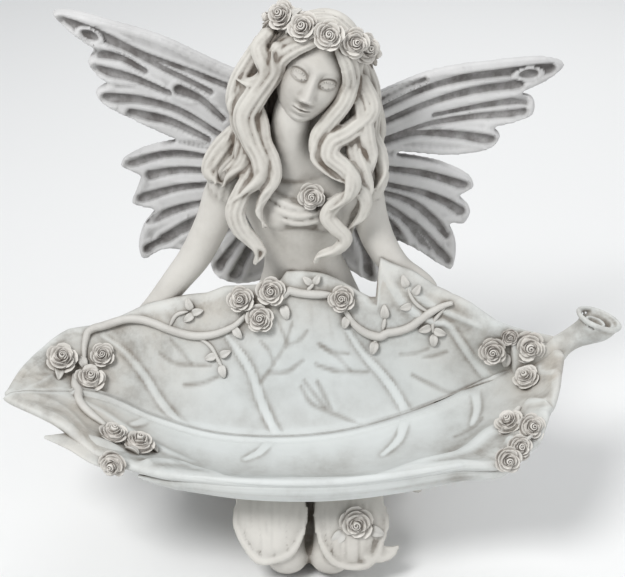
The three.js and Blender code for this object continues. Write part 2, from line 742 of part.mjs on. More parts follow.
function toMesh(manifold, name, material) {
  const shape = manifold.getMesh();
  const geometry = new THREE.BufferGeometry();
  geometry.setAttribute("position", new THREE.BufferAttribute(shape.vertProperties, 3));
  geometry.setIndex(new THREE.BufferAttribute(shape.triVerts, 1));
  geometry.computeVertexNormals();
  const mesh = new THREE.Mesh(geometry, material);
  mesh.name = name;
  return mesh;
}

const castResin = new THREE.MeshStandardMaterial({ color: 0xc9c6b8, roughness: 0.62, metalness: 0 });

const fairy = toMesh(statue(), "fairy_statue", castResin);
const group = new THREE.Group();
group.add(fairy);

export default group;
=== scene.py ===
import math

import bmesh
import bpy
import numpy as np
from mathutils import Matrix, Vector
from mathutils.kdtree import KDTree


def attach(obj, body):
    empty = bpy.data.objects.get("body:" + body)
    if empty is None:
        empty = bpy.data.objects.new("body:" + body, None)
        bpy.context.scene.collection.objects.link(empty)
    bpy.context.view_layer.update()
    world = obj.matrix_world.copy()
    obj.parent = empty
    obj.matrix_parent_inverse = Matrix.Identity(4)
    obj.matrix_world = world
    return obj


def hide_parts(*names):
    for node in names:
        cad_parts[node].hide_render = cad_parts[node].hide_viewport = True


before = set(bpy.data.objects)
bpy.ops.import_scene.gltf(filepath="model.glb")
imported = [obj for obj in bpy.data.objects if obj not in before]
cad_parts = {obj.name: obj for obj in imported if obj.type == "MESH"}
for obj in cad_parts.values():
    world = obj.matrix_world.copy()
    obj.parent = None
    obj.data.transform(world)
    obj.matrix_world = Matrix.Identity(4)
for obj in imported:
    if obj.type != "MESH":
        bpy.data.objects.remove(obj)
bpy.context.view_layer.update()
metres = 0.001


# Routes and swept forms

def unit(vectors):
    return vectors / np.maximum(np.linalg.norm(vectors, axis=-1, keepdims=True), 1e-9)


def hill(x, width):
    return np.exp(-((x / width) ** 2))


def smoothed(x):
    x = np.clip(x, 0, 1)
    return x * x * (3 - 2 * x)


def routeAt(points, t):
    # a smooth curve through the points, t from 0 to 1 with equal steps from point to point
    p = np.asarray(points, float)
    place = np.clip(np.asarray(t, float), 0, 1) * (len(p) - 1)
    step = np.minimum(place.astype(int), len(p) - 2)
    w = (place - step)[..., None]
    p = np.vstack([2 * p[0] - p[1], p, 2 * p[-1] - p[-2]])
    a, b, c, d = p[step], p[step + 1], p[step + 2], p[step + 3]
    spans = [np.linalg.norm(span, axis=-1, keepdims=True) for span in (b - a, c - b, d - c)]
    ab, bc, cd = [np.sqrt(np.maximum(span, 1e-4)) for span in spans]
    leave = ((b - a) / ab - (c - a) / (ab + bc) + (c - b) / bc) * bc
    arrive = ((c - b) / bc - (d - b) / (bc + cd) + (d - c) / cd) * bc
    return b + leave * w + (3 * (c - b) - 2 * leave - arrive) * w**2 + (2 * (b - c) + leave + arrive) * w**3


def evenRouteAt(points, share):
    # the same curve with its length shared out evenly
    fine = np.linspace(0, 1, 500)
    steps = np.linalg.norm(np.diff(routeAt(points, fine), axis=0), axis=1)
    run = np.concatenate([[0], np.cumsum(steps)])
    return routeAt(points, np.interp(np.asarray(share, float) * run[-1], run, fine))


def valueAt(values, t):
    if np.isscalar(values):
        return np.full(np.shape(t), float(values))
    v = np.asarray(values, float)
    place = np.clip(t, 0, 1) * (len(v) - 1)
    step = np.minimum(place.astype(int), len(v) - 2)
    w = place - step
    v = np.concatenate([[2 * v[0] - v[1]], v, [2 * v[-1] - v[-2]]])
    a, b, c, d = v[step], v[step + 1], v[step + 2], v[step + 3]
    return b + 0.5 * w * (c - a + w * (2 * a - 5 * b + 4 * c - d + w * (3 * (b - c) + d - a)))


def move(verts, places):
    for vert, place in zip(verts, places):
        vert.co = place


def meshFrom(bm, name):
    mesh = bpy.data.meshes.new(name)
    bm.to_mesh(mesh)
    bm.free()
    return mesh


def joined(parts, name):
    bm = bmesh.new()
    for part in parts:
        bm.from_mesh(part)
        bpy.data.meshes.remove(part)
    bmesh.ops.recalc_face_normals(bm, faces=bm.faces)
    return meshFrom(bm, name)


ballMeshes = {}


def ballOf(around, along):
    # a unit ball, made once for each fineness and then copied: its mesh and the places of its points
    if (around, along) not in ballMeshes:
        bm = bmesh.new()
        bmesh.ops.create_uvsphere(bm, u_segments=around, v_segments=along, radius=1)
        mesh = meshFrom(bm, "ball")
        places = np.empty(len(mesh.vertices) * 3)
        mesh.vertices.foreach_get("co", places)
        ballMeshes[around, along] = (mesh, places.reshape(-1, 3))
    mesh, places = ballMeshes[around, along]
    return mesh.copy(), places


def shaped(parts, mesh, places):
    mesh.vertices.foreach_set("co", np.asarray(places, float).ravel())
    mesh.update()
    parts.append(mesh)


def sweep(parts, route, widths, depths, face=(0, -1, 0), around=16, along=40, cup=0.0,
          strands=0, groove=0.14, twist=0.0, ends=(0.8, 0.8), capRows=4):
    # a closed tube or flattened lobe: widths and depths are half sizes of its section,
    # face is the way its flat side looks, strands are the grooved hairs or pleats round it
    along = max(12, int(round(along / 4)) * 4)
    mesh, ball = ballOf(around, along)
    row = np.arccos(np.clip(ball[:, 2], -1, 1)) / math.pi * along
    turn = np.arctan2(ball[:, 1], ball[:, 0])
    t = np.clip((row - capRows) / (along - 2 * capRows), 0, 1)
    point = routeAt(route, t)
    forward = unit(routeAt(route, np.minimum(t + 0.01, 1)) - routeAt(route, np.maximum(t - 0.01, 0)))
    look = np.asarray(face, float)
    out = unit(look - forward * (forward @ look)[:, None])
    side = np.cross(forward, out)
    width, depth = valueAt(widths, t), valueAt(depths, t)
    start = np.clip(1 - row / capRows, 0, 1)
    end = np.clip(1 - (along - row) / capRows, 0, 1)
    closing = np.cos(np.maximum(start, end) * math.pi / 2)
    bulge = np.sin(end * math.pi / 2) * ends[1] - np.sin(start * math.pi / 2) * ends[0]
    push = bulge * np.minimum(width, depth)
    grooved = 1.0
    if strands:
        grooved = 1 - groove * (1 - np.abs(np.sin(strands * turn / 2 + twist * t)))
    across = np.cos(turn) * closing * grooved
    rise = np.sin(turn) * closing * grooved
    places = point + side * (width * across)[:, None] + forward * push[:, None]
    places = places + out * (depth * rise - cup * width * across**2)[:, None]
    shaped(parts, mesh, places)


def blob(parts, place, sizes, turn=None, segments=24):
    mesh, ball = ballOf(segments, segments * 2 // 3)
    placed = np.array((turn or Matrix.Identity(3)).to_3x3()) @ np.diag(sizes)
    shaped(parts, mesh, ball @ placed.T + np.asarray(place, float))


# Meshes and pieces

def linkedObject(name, data):
    thing = bpy.data.objects.new(name, data)
    bpy.context.scene.collection.objects.link(thing)
    return thing


def melded(parts, name, voxel, relax=2):
    # joins overlapping forms into one skin, as the casting has
    helper = linkedObject(name + "_rough", joined(parts, name + "_rough"))
    meld = helper.modifiers.new("meld", "REMESH")
    meld.mode = "VOXEL"
    meld.voxel_size = voxel
    meld.adaptivity = 0
    if relax:
        soften = helper.modifiers.new("soften", "SMOOTH")
        soften.factor = 0.5
        soften.iterations = relax
    bpy.context.view_layer.update()
    evaluated = helper.evaluated_get(bpy.context.evaluated_depsgraph_get())
    mesh = bpy.data.meshes.new_from_object(evaluated)
    mesh.name = name
    rough = helper.data
    bpy.data.objects.remove(helper)
    bpy.data.meshes.remove(rough)
    return mesh


def readPoints(mesh):
    points = np.empty(len(mesh.vertices) * 3)
    mesh.vertices.foreach_get("co", points)
    normals = np.empty(len(mesh.vertices) * 3)
    mesh.vertex_normals.foreach_get("vector", normals)
    return points.reshape(-1, 3), normals.reshape(-1, 3)


def writePoints(mesh, points):
    mesh.vertices.foreach_set("co", points.ravel())
    mesh.update()


def neighbourMean(points, a, b, count):
    size = len(points)
    total = [np.bincount(a, points[b, k], size) + np.bincount(b, points[a, k], size) for k in range(3)]
    return np.stack(total, 1) / count[:, None]


def markHollowsAndShade(mesh, ink):
    # how deep each point lies in a fine or a wide groove, in millimetres: the dark wash gathers there;
    # ink adds more wash, and on the leaf dish painted shade on the outer wall under the front lip
    points, normals = readPoints(mesh)
    ends = np.empty(len(mesh.edges) * 2, np.int32)
    mesh.edges.foreach_get("vertices", ends)
    a, b = ends.reshape(-1, 2).T
    count = np.maximum(np.bincount(a, minlength=len(points)) + np.bincount(b, minlength=len(points)), 1)
    smooth = points.copy()
    depth = np.zeros(len(points))
    for rounds, share in ((10, 1.0), (38, 0.6)):
        for _ in range(rounds):
            smooth = 0.4 * smooth + 0.6 * neighbourMean(smooth, a, b, count)
        depth += ((smooth - points) * normals).sum(1) * share
    layer = mesh.attributes.new("hollow", "FLOAT", "POINT")
    layer.data.foreach_set("value", (depth + ink).astype(np.float32))


def finishedPiece(name, mesh, material, ink=0.0):
    markHollowsAndShade(mesh, ink)
    mesh.transform(Matrix.Scale(metres, 4))
    mesh.materials.clear()
    mesh.materials.append(material)
    mesh.polygons.foreach_set("use_smooth", [True] * len(mesh.polygons))
    mesh.update()
    piece = linkedObject(name, mesh)
    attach(piece, "root")
    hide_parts("fairy_statue")
    triangles = sum(len(p.vertices) - 2 for p in mesh.polygons)
    print(f"{name}: {triangles} triangles")


def distanceToLine(points, line, samples=60):
    # the nearest distance from each point to a smooth line, and how far along the line that is
    share = np.linspace(0, 1, samples)
    route = routeAt(line, share)
    best = np.full(len(points), 1e9)
    where = np.zeros(len(points))
    for i in range(samples - 1):
        a, b = route[i], route[i + 1]
        along = np.clip(((points - a) @ (b - a)) / max((b - a) @ (b - a), 1e-9), 0, 1)
        gap = np.linalg.norm(points - a - along[:, None] * (b - a), axis=1)
        closer = gap < best
        best[closer] = gap[closer]
        where[closer] = (share[i] + along * (share[i + 1] - share[i]))[closer]
    return best, where


# Finishes

finish = {
    # light and shade are the two tones of the resin, rim its tone away from the basin, dirt the colour of
    # both the wash and the painted shade; reach is how far closed corners gather wash and painted shade, in
    # metres, and full the groove depth that fills with wash, in millimetres; the rest are shares: wash in
    # grooves, all wash and painted shade, worn edges, smears
    "figure": {"light": (0.62, 0.60, 0.56), "shade": (0.47, 0.445, 0.405), "dirtAndShade": (0.13, 0.108, 0.085),
               "reach": 0.008, "full": 0.40, "hollow": 0.9, "strength": 0.92, "edge": 0.45, "streaks": 0.12},
    "leaf dish": {"light": (0.69, 0.715, 0.705), "shade": (0.60, 0.62, 0.605), "rim": (0.54, 0.505, 0.45),
                  "dirtAndShade": (0.17, 0.14, 0.11), "reach": 0.007, "full": 0.70,
                  "hollow": 0.85, "strength": 0.85, "edge": 0.3, "streaks": 0.5},
    "wings": {"light": (0.60, 0.595, 0.59), "shade": (0.42, 0.415, 0.41), "dirtAndShade": (0.09, 0.08, 0.075),
              "reach": 0.007, "full": 0.62, "hollow": 0.9, "strength": 0.9, "edge": 0.5, "streaks": 0.12},
    "roses": {"light": (0.72, 0.695, 0.65), "shade": (0.60, 0.57, 0.53), "dirtAndShade": (0.15, 0.12, 0.10),
              "reach": 0.0019, "full": 0.9, "hollow": 0.25, "strength": 0.8, "edge": 0.5, "streaks": 0.1},
    "face": {"light": (0.62, 0.60, 0.56), "shade": (0.50, 0.475, 0.435), "dirtAndShade": (0.13, 0.108, 0.085),
             "reach": 0.006, "full": 0.5, "hollow": 0.9, "strength": 0.9, "edge": 0.18, "streaks": 0.03},
    "hair": {"light": (0.62, 0.60, 0.555), "shade": (0.47, 0.44, 0.395), "dirtAndShade": (0.13, 0.102, 0.078),
             "reach": 0.008, "full": 0.30, "hollow": 1.0, "strength": 0.95, "edge": 0.5, "streaks": 0.25},
    "vines": {"light": (0.63, 0.62, 0.59), "shade": (0.53, 0.51, 0.475), "rim": (0.61, 0.59, 0.55),
              "dirtAndShade": (0.15, 0.125, 0.10),
              "reach": 0.004, "full": 0.8, "hollow": 0.25, "strength": 0.8, "edge": 0.3, "streaks": 0.25},
}
# the pale basin of the dish, in metres
basin = {"middle": (0.008, -0.045, 0.062), "half": (0.094, 0.058, 0.068)}
# scale, detail and roughness of each noise
noises = {"clouds": (24, 5, 0.6), "smears": (90, 6, 0.65), "grain": (900, 3, 0.6)}


def antiqueResin(name, look):
    material = bpy.data.materials.new(name)
    material.use_nodes = True
    nodes, links = material.node_tree.nodes, material.node_tree.links
    shader = nodes["Principled BSDF"]

    def add(kind, **settings):
        node = nodes.new(kind)
        for key, value in settings.items():
            setattr(node, key, value)
        return node

    def noise(name):
        node = add("ShaderNodeTexNoise")
        for socket, number in zip(("Scale", "Detail", "Roughness"), noises[name]):
            node.inputs[socket].default_value = number
        links.new(place.outputs["Object"], node.inputs["Vector"])
        return node.outputs["Fac"]

    def spread(value, low, high, first, last):
        node = add("ShaderNodeMapRange", clamp=True)
        for socket, number in zip(("From Min", "From Max", "To Min", "To Max"), (low, high, first, last)):
            node.inputs[socket].default_value = number
        links.new(value, node.inputs["Value"])
        return node.outputs["Result"]

    def maths(operation, a, b):
        node = add("ShaderNodeMath", operation=operation, use_clamp=True)
        for socket, value in zip(node.inputs, (a, b)):
            if isinstance(value, (int, float)):
                socket.default_value = value
            else:
                links.new(value, socket)
        return node.outputs[0]

    def mixed(share, first, second):
        node = add("ShaderNodeMix", data_type="RGBA")
        links.new(share, node.inputs[0])
        for socket, value in zip((node.inputs[6], node.inputs[7]), (first, second)):
            if isinstance(value, tuple):
                socket.default_value = (*value, 1)
            else:
                links.new(value, socket)
        return node.outputs[2]

    place = add("ShaderNodeTexCoord")
    clouds, smears, grain = noise("clouds"), noise("smears"), noise("grain")
    occlusion = add("ShaderNodeAmbientOcclusion", samples=8)
    occlusion.inputs["Distance"].default_value = look["reach"]
    carvedAndShaded = add("ShaderNodeAttribute", attribute_name="hollow")
    hollow = spread(carvedAndShaded.outputs["Fac"], 0.03, look["full"], 0, 1)
    edge = spread(carvedAndShaded.outputs["Fac"], -0.04, -0.45, 0, 1)
    # painted shade as well as wash: ambient occlusion darkens closed corners and the faces under and between
    # parts
    occludedWashAndShade = spread(occlusion.outputs["AO"], 0.35, 0.93, 1, 0)
    uneven = spread(smears, 0.34, 0.66, 0.55, 1.15)
    # the darkening is the larger of that painted shade and the groove wash, made uneven by the smears
    dirtAndShade = maths("MULTIPLY", maths("MAXIMUM", occludedWashAndShade, maths("MULTIPLY", hollow, look["hollow"])), uneven)
    dirtAndShade = maths("MULTIPLY", dirtAndShade, look["strength"])
    stain = maths("MULTIPLY", spread(clouds, 0.48, 0.72, 0, 0.3), spread(smears, 0.4, 0.65, 0.2, 1))
    # pale and bluish in the basin, warmer and dirtier towards the rims
    offset = add("ShaderNodeVectorMath", operation="SUBTRACT")
    links.new(place.outputs["Object"], offset.inputs[0])
    offset.inputs[1].default_value = basin["middle"]
    shares = add("ShaderNodeVectorMath", operation="DIVIDE")
    links.new(offset.outputs["Vector"], shares.inputs[0])
    shares.inputs[1].default_value = basin["half"]
    length = add("ShaderNodeVectorMath", operation="LENGTH")
    links.new(shares.outputs["Vector"], length.inputs[0])
    away = length.outputs["Value"]
    base = mixed(spread(away, 0.75, 1.35, 0, 1), look["light"], look.get("rim", look["light"]))
    base = mixed(spread(clouds, 0.36, 0.70, 0, 1), base, look["shade"])
    streaks = maths("MULTIPLY", spread(away, 0.8, 1.6, 0, look["streaks"]), spread(smears, 0.44, 0.66, 0, 1))
    base = mixed(streaks, base, look["dirtAndShade"])
    base = mixed(stain, base, look["dirtAndShade"])
    pale = tuple(min(1.0, c * 1.2) for c in look["light"])
    base = mixed(maths("MULTIPLY", edge, look["edge"]), base, pale)
    links.new(mixed(dirtAndShade, base, look["dirtAndShade"]), shader.inputs["Base Color"])
    links.new(spread(smears, 0.3, 0.7, 0.5, 0.68), shader.inputs["Roughness"])
    shader.inputs["Specular IOR Level"].default_value = 0.42
    bump = add("ShaderNodeBump")
    bump.inputs["Strength"].default_value = 0.16
    bump.inputs["Distance"].default_value = 0.0006
    height = maths("ADD", maths("MULTIPLY", grain, 0.5), maths("MULTIPLY", smears, 0.5))
    links.new(height, bump.inputs["Height"])
    links.new(bump.outputs["Normal"], shader.inputs["Normal"])
    return material


resins = {name: antiqueResin(f"antique resin, {name}", look) for name, look in finish.items()}


# The leaf dish

dish = {
    "midrib": [(-149, -43, 90), (-108, -25, 77), (-79, -28, 65), (-44, -34, 58),
               (12, -31, 57), (62, -17, 65), (104, -6, 82), (130, -5, 97)],
    "frontRim": [(-150, -45, 90), (-124, -58, 85), (-98, -77, 76), (-50, -86, 70),
                 (14, -89, 70), (68, -82, 73), (103, -78, 78), (121, -48, 88), (131, -14, 96)],
    "backRim": [(-150, -41, 90), (-144, -19, 94), (-130, 0, 99), (-97, 9, 107), (-65, 11, 119), (-30, 7, 126),
                (8, 9, 128), (40, 4, 121), (73, 2, 119), (100, -6, 110), (130, -1, 101)],
    "belly": 4,
    "wall": 6.4,
    "rimRound": 4.0,
    "columns": 310,
    "rows": 118,
    "crowding": (1.15, 1.3),
    # a tall pointed flap of the back rim laps over her forearm: share of length, rise
    "flap": [(0, 0), (0.12, 0), (0.17, 2), (0.22, -0.5), (0.3, 1.5), (0.36, -0.5), (0.41, -1.5), (0.44, 1),
             (0.5, 0), (0.53, 0.5), (0.54, 5), (0.565, 4.8), (0.6, 3.4), (0.627, 1.7), (0.658, -0.7),
             (0.678, -1.9), (0.6895, -0.8), (0.692, 19.5), (0.714, 17.3), (0.749, 14), (0.783, 7.2),
             (0.812, 4.6), (0.845, 3.8), (0.888, 1.1), (0.931, 0.1), (1, -1)],
    # ruffles of the front rim: share of length, rise
    "ruffles": [(0, 0), (0.08, 0), (0.12, 1.2), (0.17, -0.8), (0.22, 0.8), (0.28, -0.5), (0.33, 1),
                (0.5, 0.6), (0.7, 1.5), (0.75, -1.5), (0.785, 2.5), (0.825, -2.5), (0.86, 3.5),
                (0.895, -2.5), (0.93, 2), (0.965, -0.5), (1, 0)],
    # the rolled lip and the wall under it: run along the front rim (from, to, points), place across,
    # shift and half sizes
    "lip": {"run": (0.315, 0.735, 30), "across": -0.985, "shift": (0, 0.2, 0.3),
            "widths": [1.0, 1.6, 1.9, 1.9, 1.9, 1.6, 1.0], "depths": [1.0, 1.5, 1.8, 1.8, 1.8, 1.5, 1.0]},
    "wallUnder": {"run": (0.24, 0.80, 36), "across": -0.97, "shift": (0, 2.0, -5.8),
                  "widths": [1.0, 4.4, 6.2, 6.8, 6.8, 6.6, 6.0, 4.0, 1.0],
                  "depths": [0.8, 2.4, 3.0, 3.2, 3.2, 3.0, 3.0, 2.2, 0.8]},
    # the pointed lobe below the leaf's tip
    "lobe": {"route": [(-84, -72, 70), (-97, -71.5, 74), (-112, -67, 78.5), (-127, -63, 79)],
             "widths": [5, 9, 6.5, 1.0], "depths": [2.0, 2.2, 2.0, 0.8]},
    # wash in the creases beside a band and in a fine line, and painted shade on the wall under the lip
    "ink": {"band": 0.24, "fine": 0.12, "wall": 0.6},
}


def dishAt(s, t):
    # s runs from the leaf's tip to its stem, t from the front rim (-1) to the back rim (1)
    s, t = np.broadcast_arrays(np.asarray(s, float), np.asarray(t, float))
    middle = evenRouteAt(dish["midrib"], s)
    back = evenRouteAt(dish["backRim"], s)
    front = evenRouteAt(dish["frontRim"], s)
    out = np.abs(t)
    behind = (t >= 0)[..., None]
    rim = np.where(behind, back, front)
    place = middle + (rim - middle) * np.where(t >= 0, out**0.85, out)[..., None]
    rise = out ** np.where(t >= 0, 1.5, 3.0)
    place[..., 2] = middle[..., 2] + (rim[..., 2] - middle[..., 2]) * rise
    sag = dish["belly"] * np.sin(math.pi * out) ** 2 * np.sin(math.pi * s)
    place[..., 2] -= np.where(t < 0, sag, 0)
    steepness = 4 + 5 * np.clip((s - 0.64) / 0.04, 0, 1)
    flap = np.interp(s, *zip(*dish["flap"])) * np.where(t > 0, out**steepness, 0)
    ruffle = np.interp(s, *zip(*dish["ruffles"])) * np.where(t < 0, out**5, 0)
    place[..., 2] += flap + ruffle
    place[..., 1] += 0.3 * flap
    return place


def dishNormal(s, t):
    s, t = np.broadcast_arrays(np.asarray(s, float), np.asarray(t, float))
    step = 0.008
    along = dishAt(np.minimum(s + step, 1), t) - dishAt(np.maximum(s - step, 0), t)
    across = dishAt(s, np.minimum(t + step, 1)) - dishAt(s, np.maximum(t - step, -1))
    return unit(np.cross(along, across))


def onDish(s, t, lift=0.0):
    return dishAt(s, t) + dishNormal(s, t) * (dish["wall"] / 2 + lift)


veins = {
    # each raised band has two edge lines: places as shares of the leaf's length and breadth
    "bands": [
        [(0.316, 0.02), (0.295, 0.25), (0.275, 0.52), (0.25, 0.73), (0.222, 0.89)],
        [(0.482, 0.03), (0.472, 0.32), (0.463, 0.55), (0.445, 0.69), (0.428, 0.80)],
        [(0.710, 0.02), (0.698, 0.34), (0.68, 0.5), (0.655, 0.63), (0.628, 0.78)],
        [(0.868, 0.08), (0.84, 0.54), (0.81, 0.78), (0.792, 0.86)],
        [(0.463, -0.04), (0.44, -0.19), (0.412, -0.30)],
        [(0.698, -0.06), (0.67, -0.24), (0.63, -0.38)],
        [(0.83, -0.08), (0.81, -0.25), (0.785, -0.36)],
        [(0.25, -0.04), (0.235, -0.16), (0.22, -0.24)],
    ],
    "halfWidth": [2.2, 1.9, 1.6, 1.0],
    "raise": 0.62,
    "crease": 0.38,
    "ribHalfWidth": 2.0,
    "ribRaise": 1.6,
    "ribCrease": 0.4,
    "fineDepth": 0.34,
    "combDepth": 0.30,
    "swell": 0.6,
    # folds that run in from the rim: places, rise, width
    "folds": [
        ([(0.60, -0.92), (0.66, -0.84), (0.71, -0.74), (0.755, -0.62), (0.795, -0.56), (0.82, -0.66)],
         2.6, 5.0),
        ([(0.29, -0.60), (0.315, -0.70), (0.34, -0.84), (0.36, -0.95)], 1.4, 3.2),
        ([(0.775, -0.97), (0.79, -0.88), (0.80, -0.76)], 2.5, 2.6),
        ([(0.245, -0.97), (0.262, -0.84), (0.30, -0.72)], 2.2, 2.6),
        ([(0.955, -0.97), (0.945, -0.72), (0.94, -0.5), (0.95, -0.3)], 1.5, 3.0),
        ([(0.90, -0.98), (0.885, -0.8), (0.875, -0.62)], 1.8, 3.2),
        ([(0.697, 0.985), (0.73, 0.90), (0.77, 0.84), (0.81, 0.82)], 1.8, 1.9),
        ([(0.72, 0.985), (0.76, 0.93), (0.80, 0.90), (0.86, 0.88)], 1.5, 1.8),
        ([(0.03, 0.1), (0.08, 0.35), (0.13, 0.6)], 1.2, 2.4),
        ([(0.03, -0.1), (0.09, -0.4), (0.15, -0.75)], 0.6, 2.4),
        ([(0.10, -0.15), (0.16, -0.25), (0.24, -0.38), (0.32, -0.5)], 1.0, 2.4),
        ([(0.90, 0.05), (0.93, 0.25), (0.96, 0.4)], 1.2, 2.2),
    ],
    "fine": [
        [(0.475, 0.48), (0.502, 0.59), (0.527, 0.70), (0.540, 0.78)],
        [(0.502, 0.59), (0.497, 0.67), (0.487, 0.72)],
        [(0.527, 0.68), (0.550, 0.70), (0.563, 0.74)],
        [(0.492, 0.54), (0.522, 0.54), (0.550, 0.59)],
        [(0.527, 0.71), (0.522, 0.78), (0.517, 0.84)],
        [(0.313, 0.68), (0.335, 0.61), (0.362, 0.59), (0.398, 0.59)],
        [(0.338, 0.76), (0.352, 0.68), (0.365, 0.60)],
        [(0.345, 0.45), (0.378, 0.47), (0.407, 0.52)],
        [(0.540, 0.44), (0.552, 0.32), (0.575, 0.25), (0.603, 0.16), (0.627, 0.05)],
        [(0.547, 0.47), (0.560, 0.38), (0.575, 0.27)],
        [(0.568, 0.46), (0.575, 0.37), (0.583, 0.26)],
        [(0.570, 0.56), (0.598, 0.52), (0.627, 0.51), (0.657, 0.51)],
        [(0.583, 0.66), (0.608, 0.60), (0.627, 0.52)],
        [(0.580, 0.67), (0.598, 0.63), (0.627, 0.62)],
        [(0.718, 0.63), (0.743, 0.63), (0.765, 0.65)],
        [(0.755, 0.59), (0.777, 0.59), (0.795, 0.61)],
        [(0.733, 0.46), (0.762, 0.33), (0.785, 0.19), (0.807, 0.02)],
        [(0.75, -0.40), (0.777, -0.39), (0.805, -0.36)],
        [(0.163, 0.96), (0.19, 0.91)],
        [(0.05, 0.77), (0.085, 0.58), (0.117, 0.43)],
        [(0.11, 0.10), (0.15, 0.22), (0.19, 0.38)],
    ],
}


def dishRope(parts, places, radius, lift, around, spacing):
    s, t = np.array(places, float).T
    share = np.linspace(0, 1, 24)
    leafSize = [250, 100]
    flat = routeAt(np.stack([s, t], 1) * leafSize, share) / leafSize
    points = onDish(flat[:, 0], flat[:, 1], lift)
    length = np.linalg.norm(np.diff(points, axis=0), axis=1).sum()
    size = np.array([0.55, 1, 1, 1, 0.55]) * radius
    sweep(parts, points, size, size, face=(0, -0.4, 1), around=around, along=int(length / spacing), capRows=3)


def dishRelief(middle, s, t):
    # bands, midrib, engraved lines and folds, in millimetres over the plain leaf
    relief = np.zeros(len(s))
    for places in veins["bands"]:
        gap, where = distanceToLine(middle, dishAt(*np.array(places).T), 24)
        halfWidth = valueAt(veins["halfWidth"], where)
        fade = np.clip(np.sin(math.pi * (0.04 + 0.9 * where)) * 2.4, 0, 1)
        relief = np.maximum(relief, veins["raise"] * fade * smoothed((halfWidth + 1.2 - gap) / 2.3))
        relief = relief - veins["crease"] * fade * hill(gap - halfWidth - 1.0, 0.75)
    shares = np.linspace(0.12, 0.97, 40)
    gap, where = distanceToLine(middle, dishAt(shares, 0 * shares), 60)
    ribWidth = veins["ribHalfWidth"] * (1.2 - 0.4 * where)
    relief = np.maximum(relief, veins["ribRaise"] * np.clip((ribWidth + 1.0 - gap) / 2.2, 0, 1) ** 0.6)
    relief = relief - veins["ribCrease"] * hill(gap - ribWidth - 1.2, 0.9) + 0.3 * hill(gap, 10)
    for places in veins["fine"]:
        gap, where = distanceToLine(middle, dishAt(*np.array(places).T), 16)
        relief -= veins["fineDepth"] * hill(gap, 1.1 + 0.5 * np.sin(math.pi * where) ** 0.8)
    for places, rise, width in veins["folds"]:
        gap, where = distanceToLine(middle, dishAt(*np.array(places).T), 24)
        relief += rise * hill(gap, width) * np.clip(np.sin(math.pi * (0.06 + 0.88 * where)) * 1.6, 0, 1)
    return relief


def dishWaves(s, t):
    # slow swells of the leaf between its veins, and soft uneven veins that run out to the rims
    out = np.abs(t)
    waves = veins["swell"] * np.sin(s * 34 + 2.2 * t) * np.clip(out - 0.15, 0, 1)
    wander = 260 * s + 34 * np.sin(s * 9 + 3 * t) + 7 * np.sin(t * 6 + s * 31)
    combed = np.clip(np.sin(wander) - 0.55, 0, 1) * np.clip(out - 0.55, 0, 0.35) * 2.9
    return waves - veins["combDepth"] * combed


def buildLeafDish():
    bm = bmesh.new()
    bmesh.ops.create_grid(bm, x_segments=dish["columns"], y_segments=dish["rows"], size=1)
    top = list(bm.verts)
    copied = bmesh.ops.duplicate(bm, geom=bm.verts[:] + bm.edges[:] + bm.faces[:])["geom"]
    under = [g for g in copied if isinstance(g, bmesh.types.BMVert)]
    bmesh.ops.reverse_faces(bm, faces=[g for g in copied if isinstance(g, bmesh.types.BMFace)])
    # rows and columns close up towards the rim, where the edge rounds over
    grid = np.array([v.co for v in top])[:, :2]
    grid = np.sign(grid) * (1 - (1 - np.abs(grid)) ** dish["crowding"])
    s, t = 0.5 + 0.5 * grid[:, 0], grid[:, 1]
    middle = dishAt(s, t)
    normal = dishNormal(s, t)
    breadth = np.linalg.norm(dishAt(s, np.sign(t)) - dishAt(s, 0 * t), axis=1)
    inset = np.minimum((1 - np.abs(t)) * breadth, np.minimum(s, 1 - s) * 260)
    roundShare = np.clip(inset / dish["rimRound"], 0, 1)
    half = dish["wall"] / 2 * np.sqrt(1 - (1 - roundShare) ** 2) * (0.8 + 0.2 * np.clip(inset / 12, 0, 1))
    relief = (dishRelief(middle, s, t) + dishWaves(s, t)) * roundShare
    move(top, middle + normal * (half + relief)[:, None])
    move(under, middle - normal * half[:, None])
    bmesh.ops.remove_doubles(bm, verts=bm.verts[:], dist=0.02)
    parts = [meshFrom(bm, "leaf sheet")]
    foldRims(parts)
    mesh = joined(parts, "leaf_dish")
    finishedPiece("leaf_dish", mesh, resins["leaf dish"], dishInkAndShade(mesh))


def dishInkAndShade(mesh):
    # the wash that stays in the engraved lines of the leaf, and painted shade on the outer wall under the
    # front lip
    points, normals = readPoints(mesh)
    ink = np.zeros(len(points))
    for kind in ("bands", "fine"):
        for places in veins[kind]:
            route = onDish(*np.array(places).T)
            close = np.all((points > route.min(0) - 5) & (points < route.max(0) + 5), axis=1)
            near = np.flatnonzero(close & (normals[:, 2] > 0))
            gap, where = distanceToLine(points[near], route, 20)
            if kind == "bands":
                wash = dish["ink"]["band"] * hill(gap - valueAt(veins["halfWidth"], where) - 1.0, 0.9)
            else:
                wash = dish["ink"]["fine"] * hill(gap, 1.0 + 0.4 * np.sin(math.pi * where))
            ink[near] = np.maximum(ink[near], wash)
    # painted shade: the outer wall under the front lip is painted darker, more so further below the rim
    share = np.linspace(0.15, 0.84, 60)
    rim = dishAt(share, 0 * share - 1)
    rimDepth = np.interp(points[:, 0], rim[:, 0], rim[:, 1])
    rimHeight = np.interp(points[:, 0], rim[:, 0], rim[:, 2])
    below = np.clip((rimHeight - 1.0 - points[:, 2]) / 8, 0, 1)
    below *= np.clip((rimDepth + 3.0 - points[:, 1]) / 2, 0, 1)
    ink += dish["ink"]["wall"] * below * (np.abs(points[:, 0]) < 104)
    return ink


def alongRim(form):
    share = np.linspace(*form["run"])
    return dishAt(share, form["across"] + 0 * share) + form["shift"]


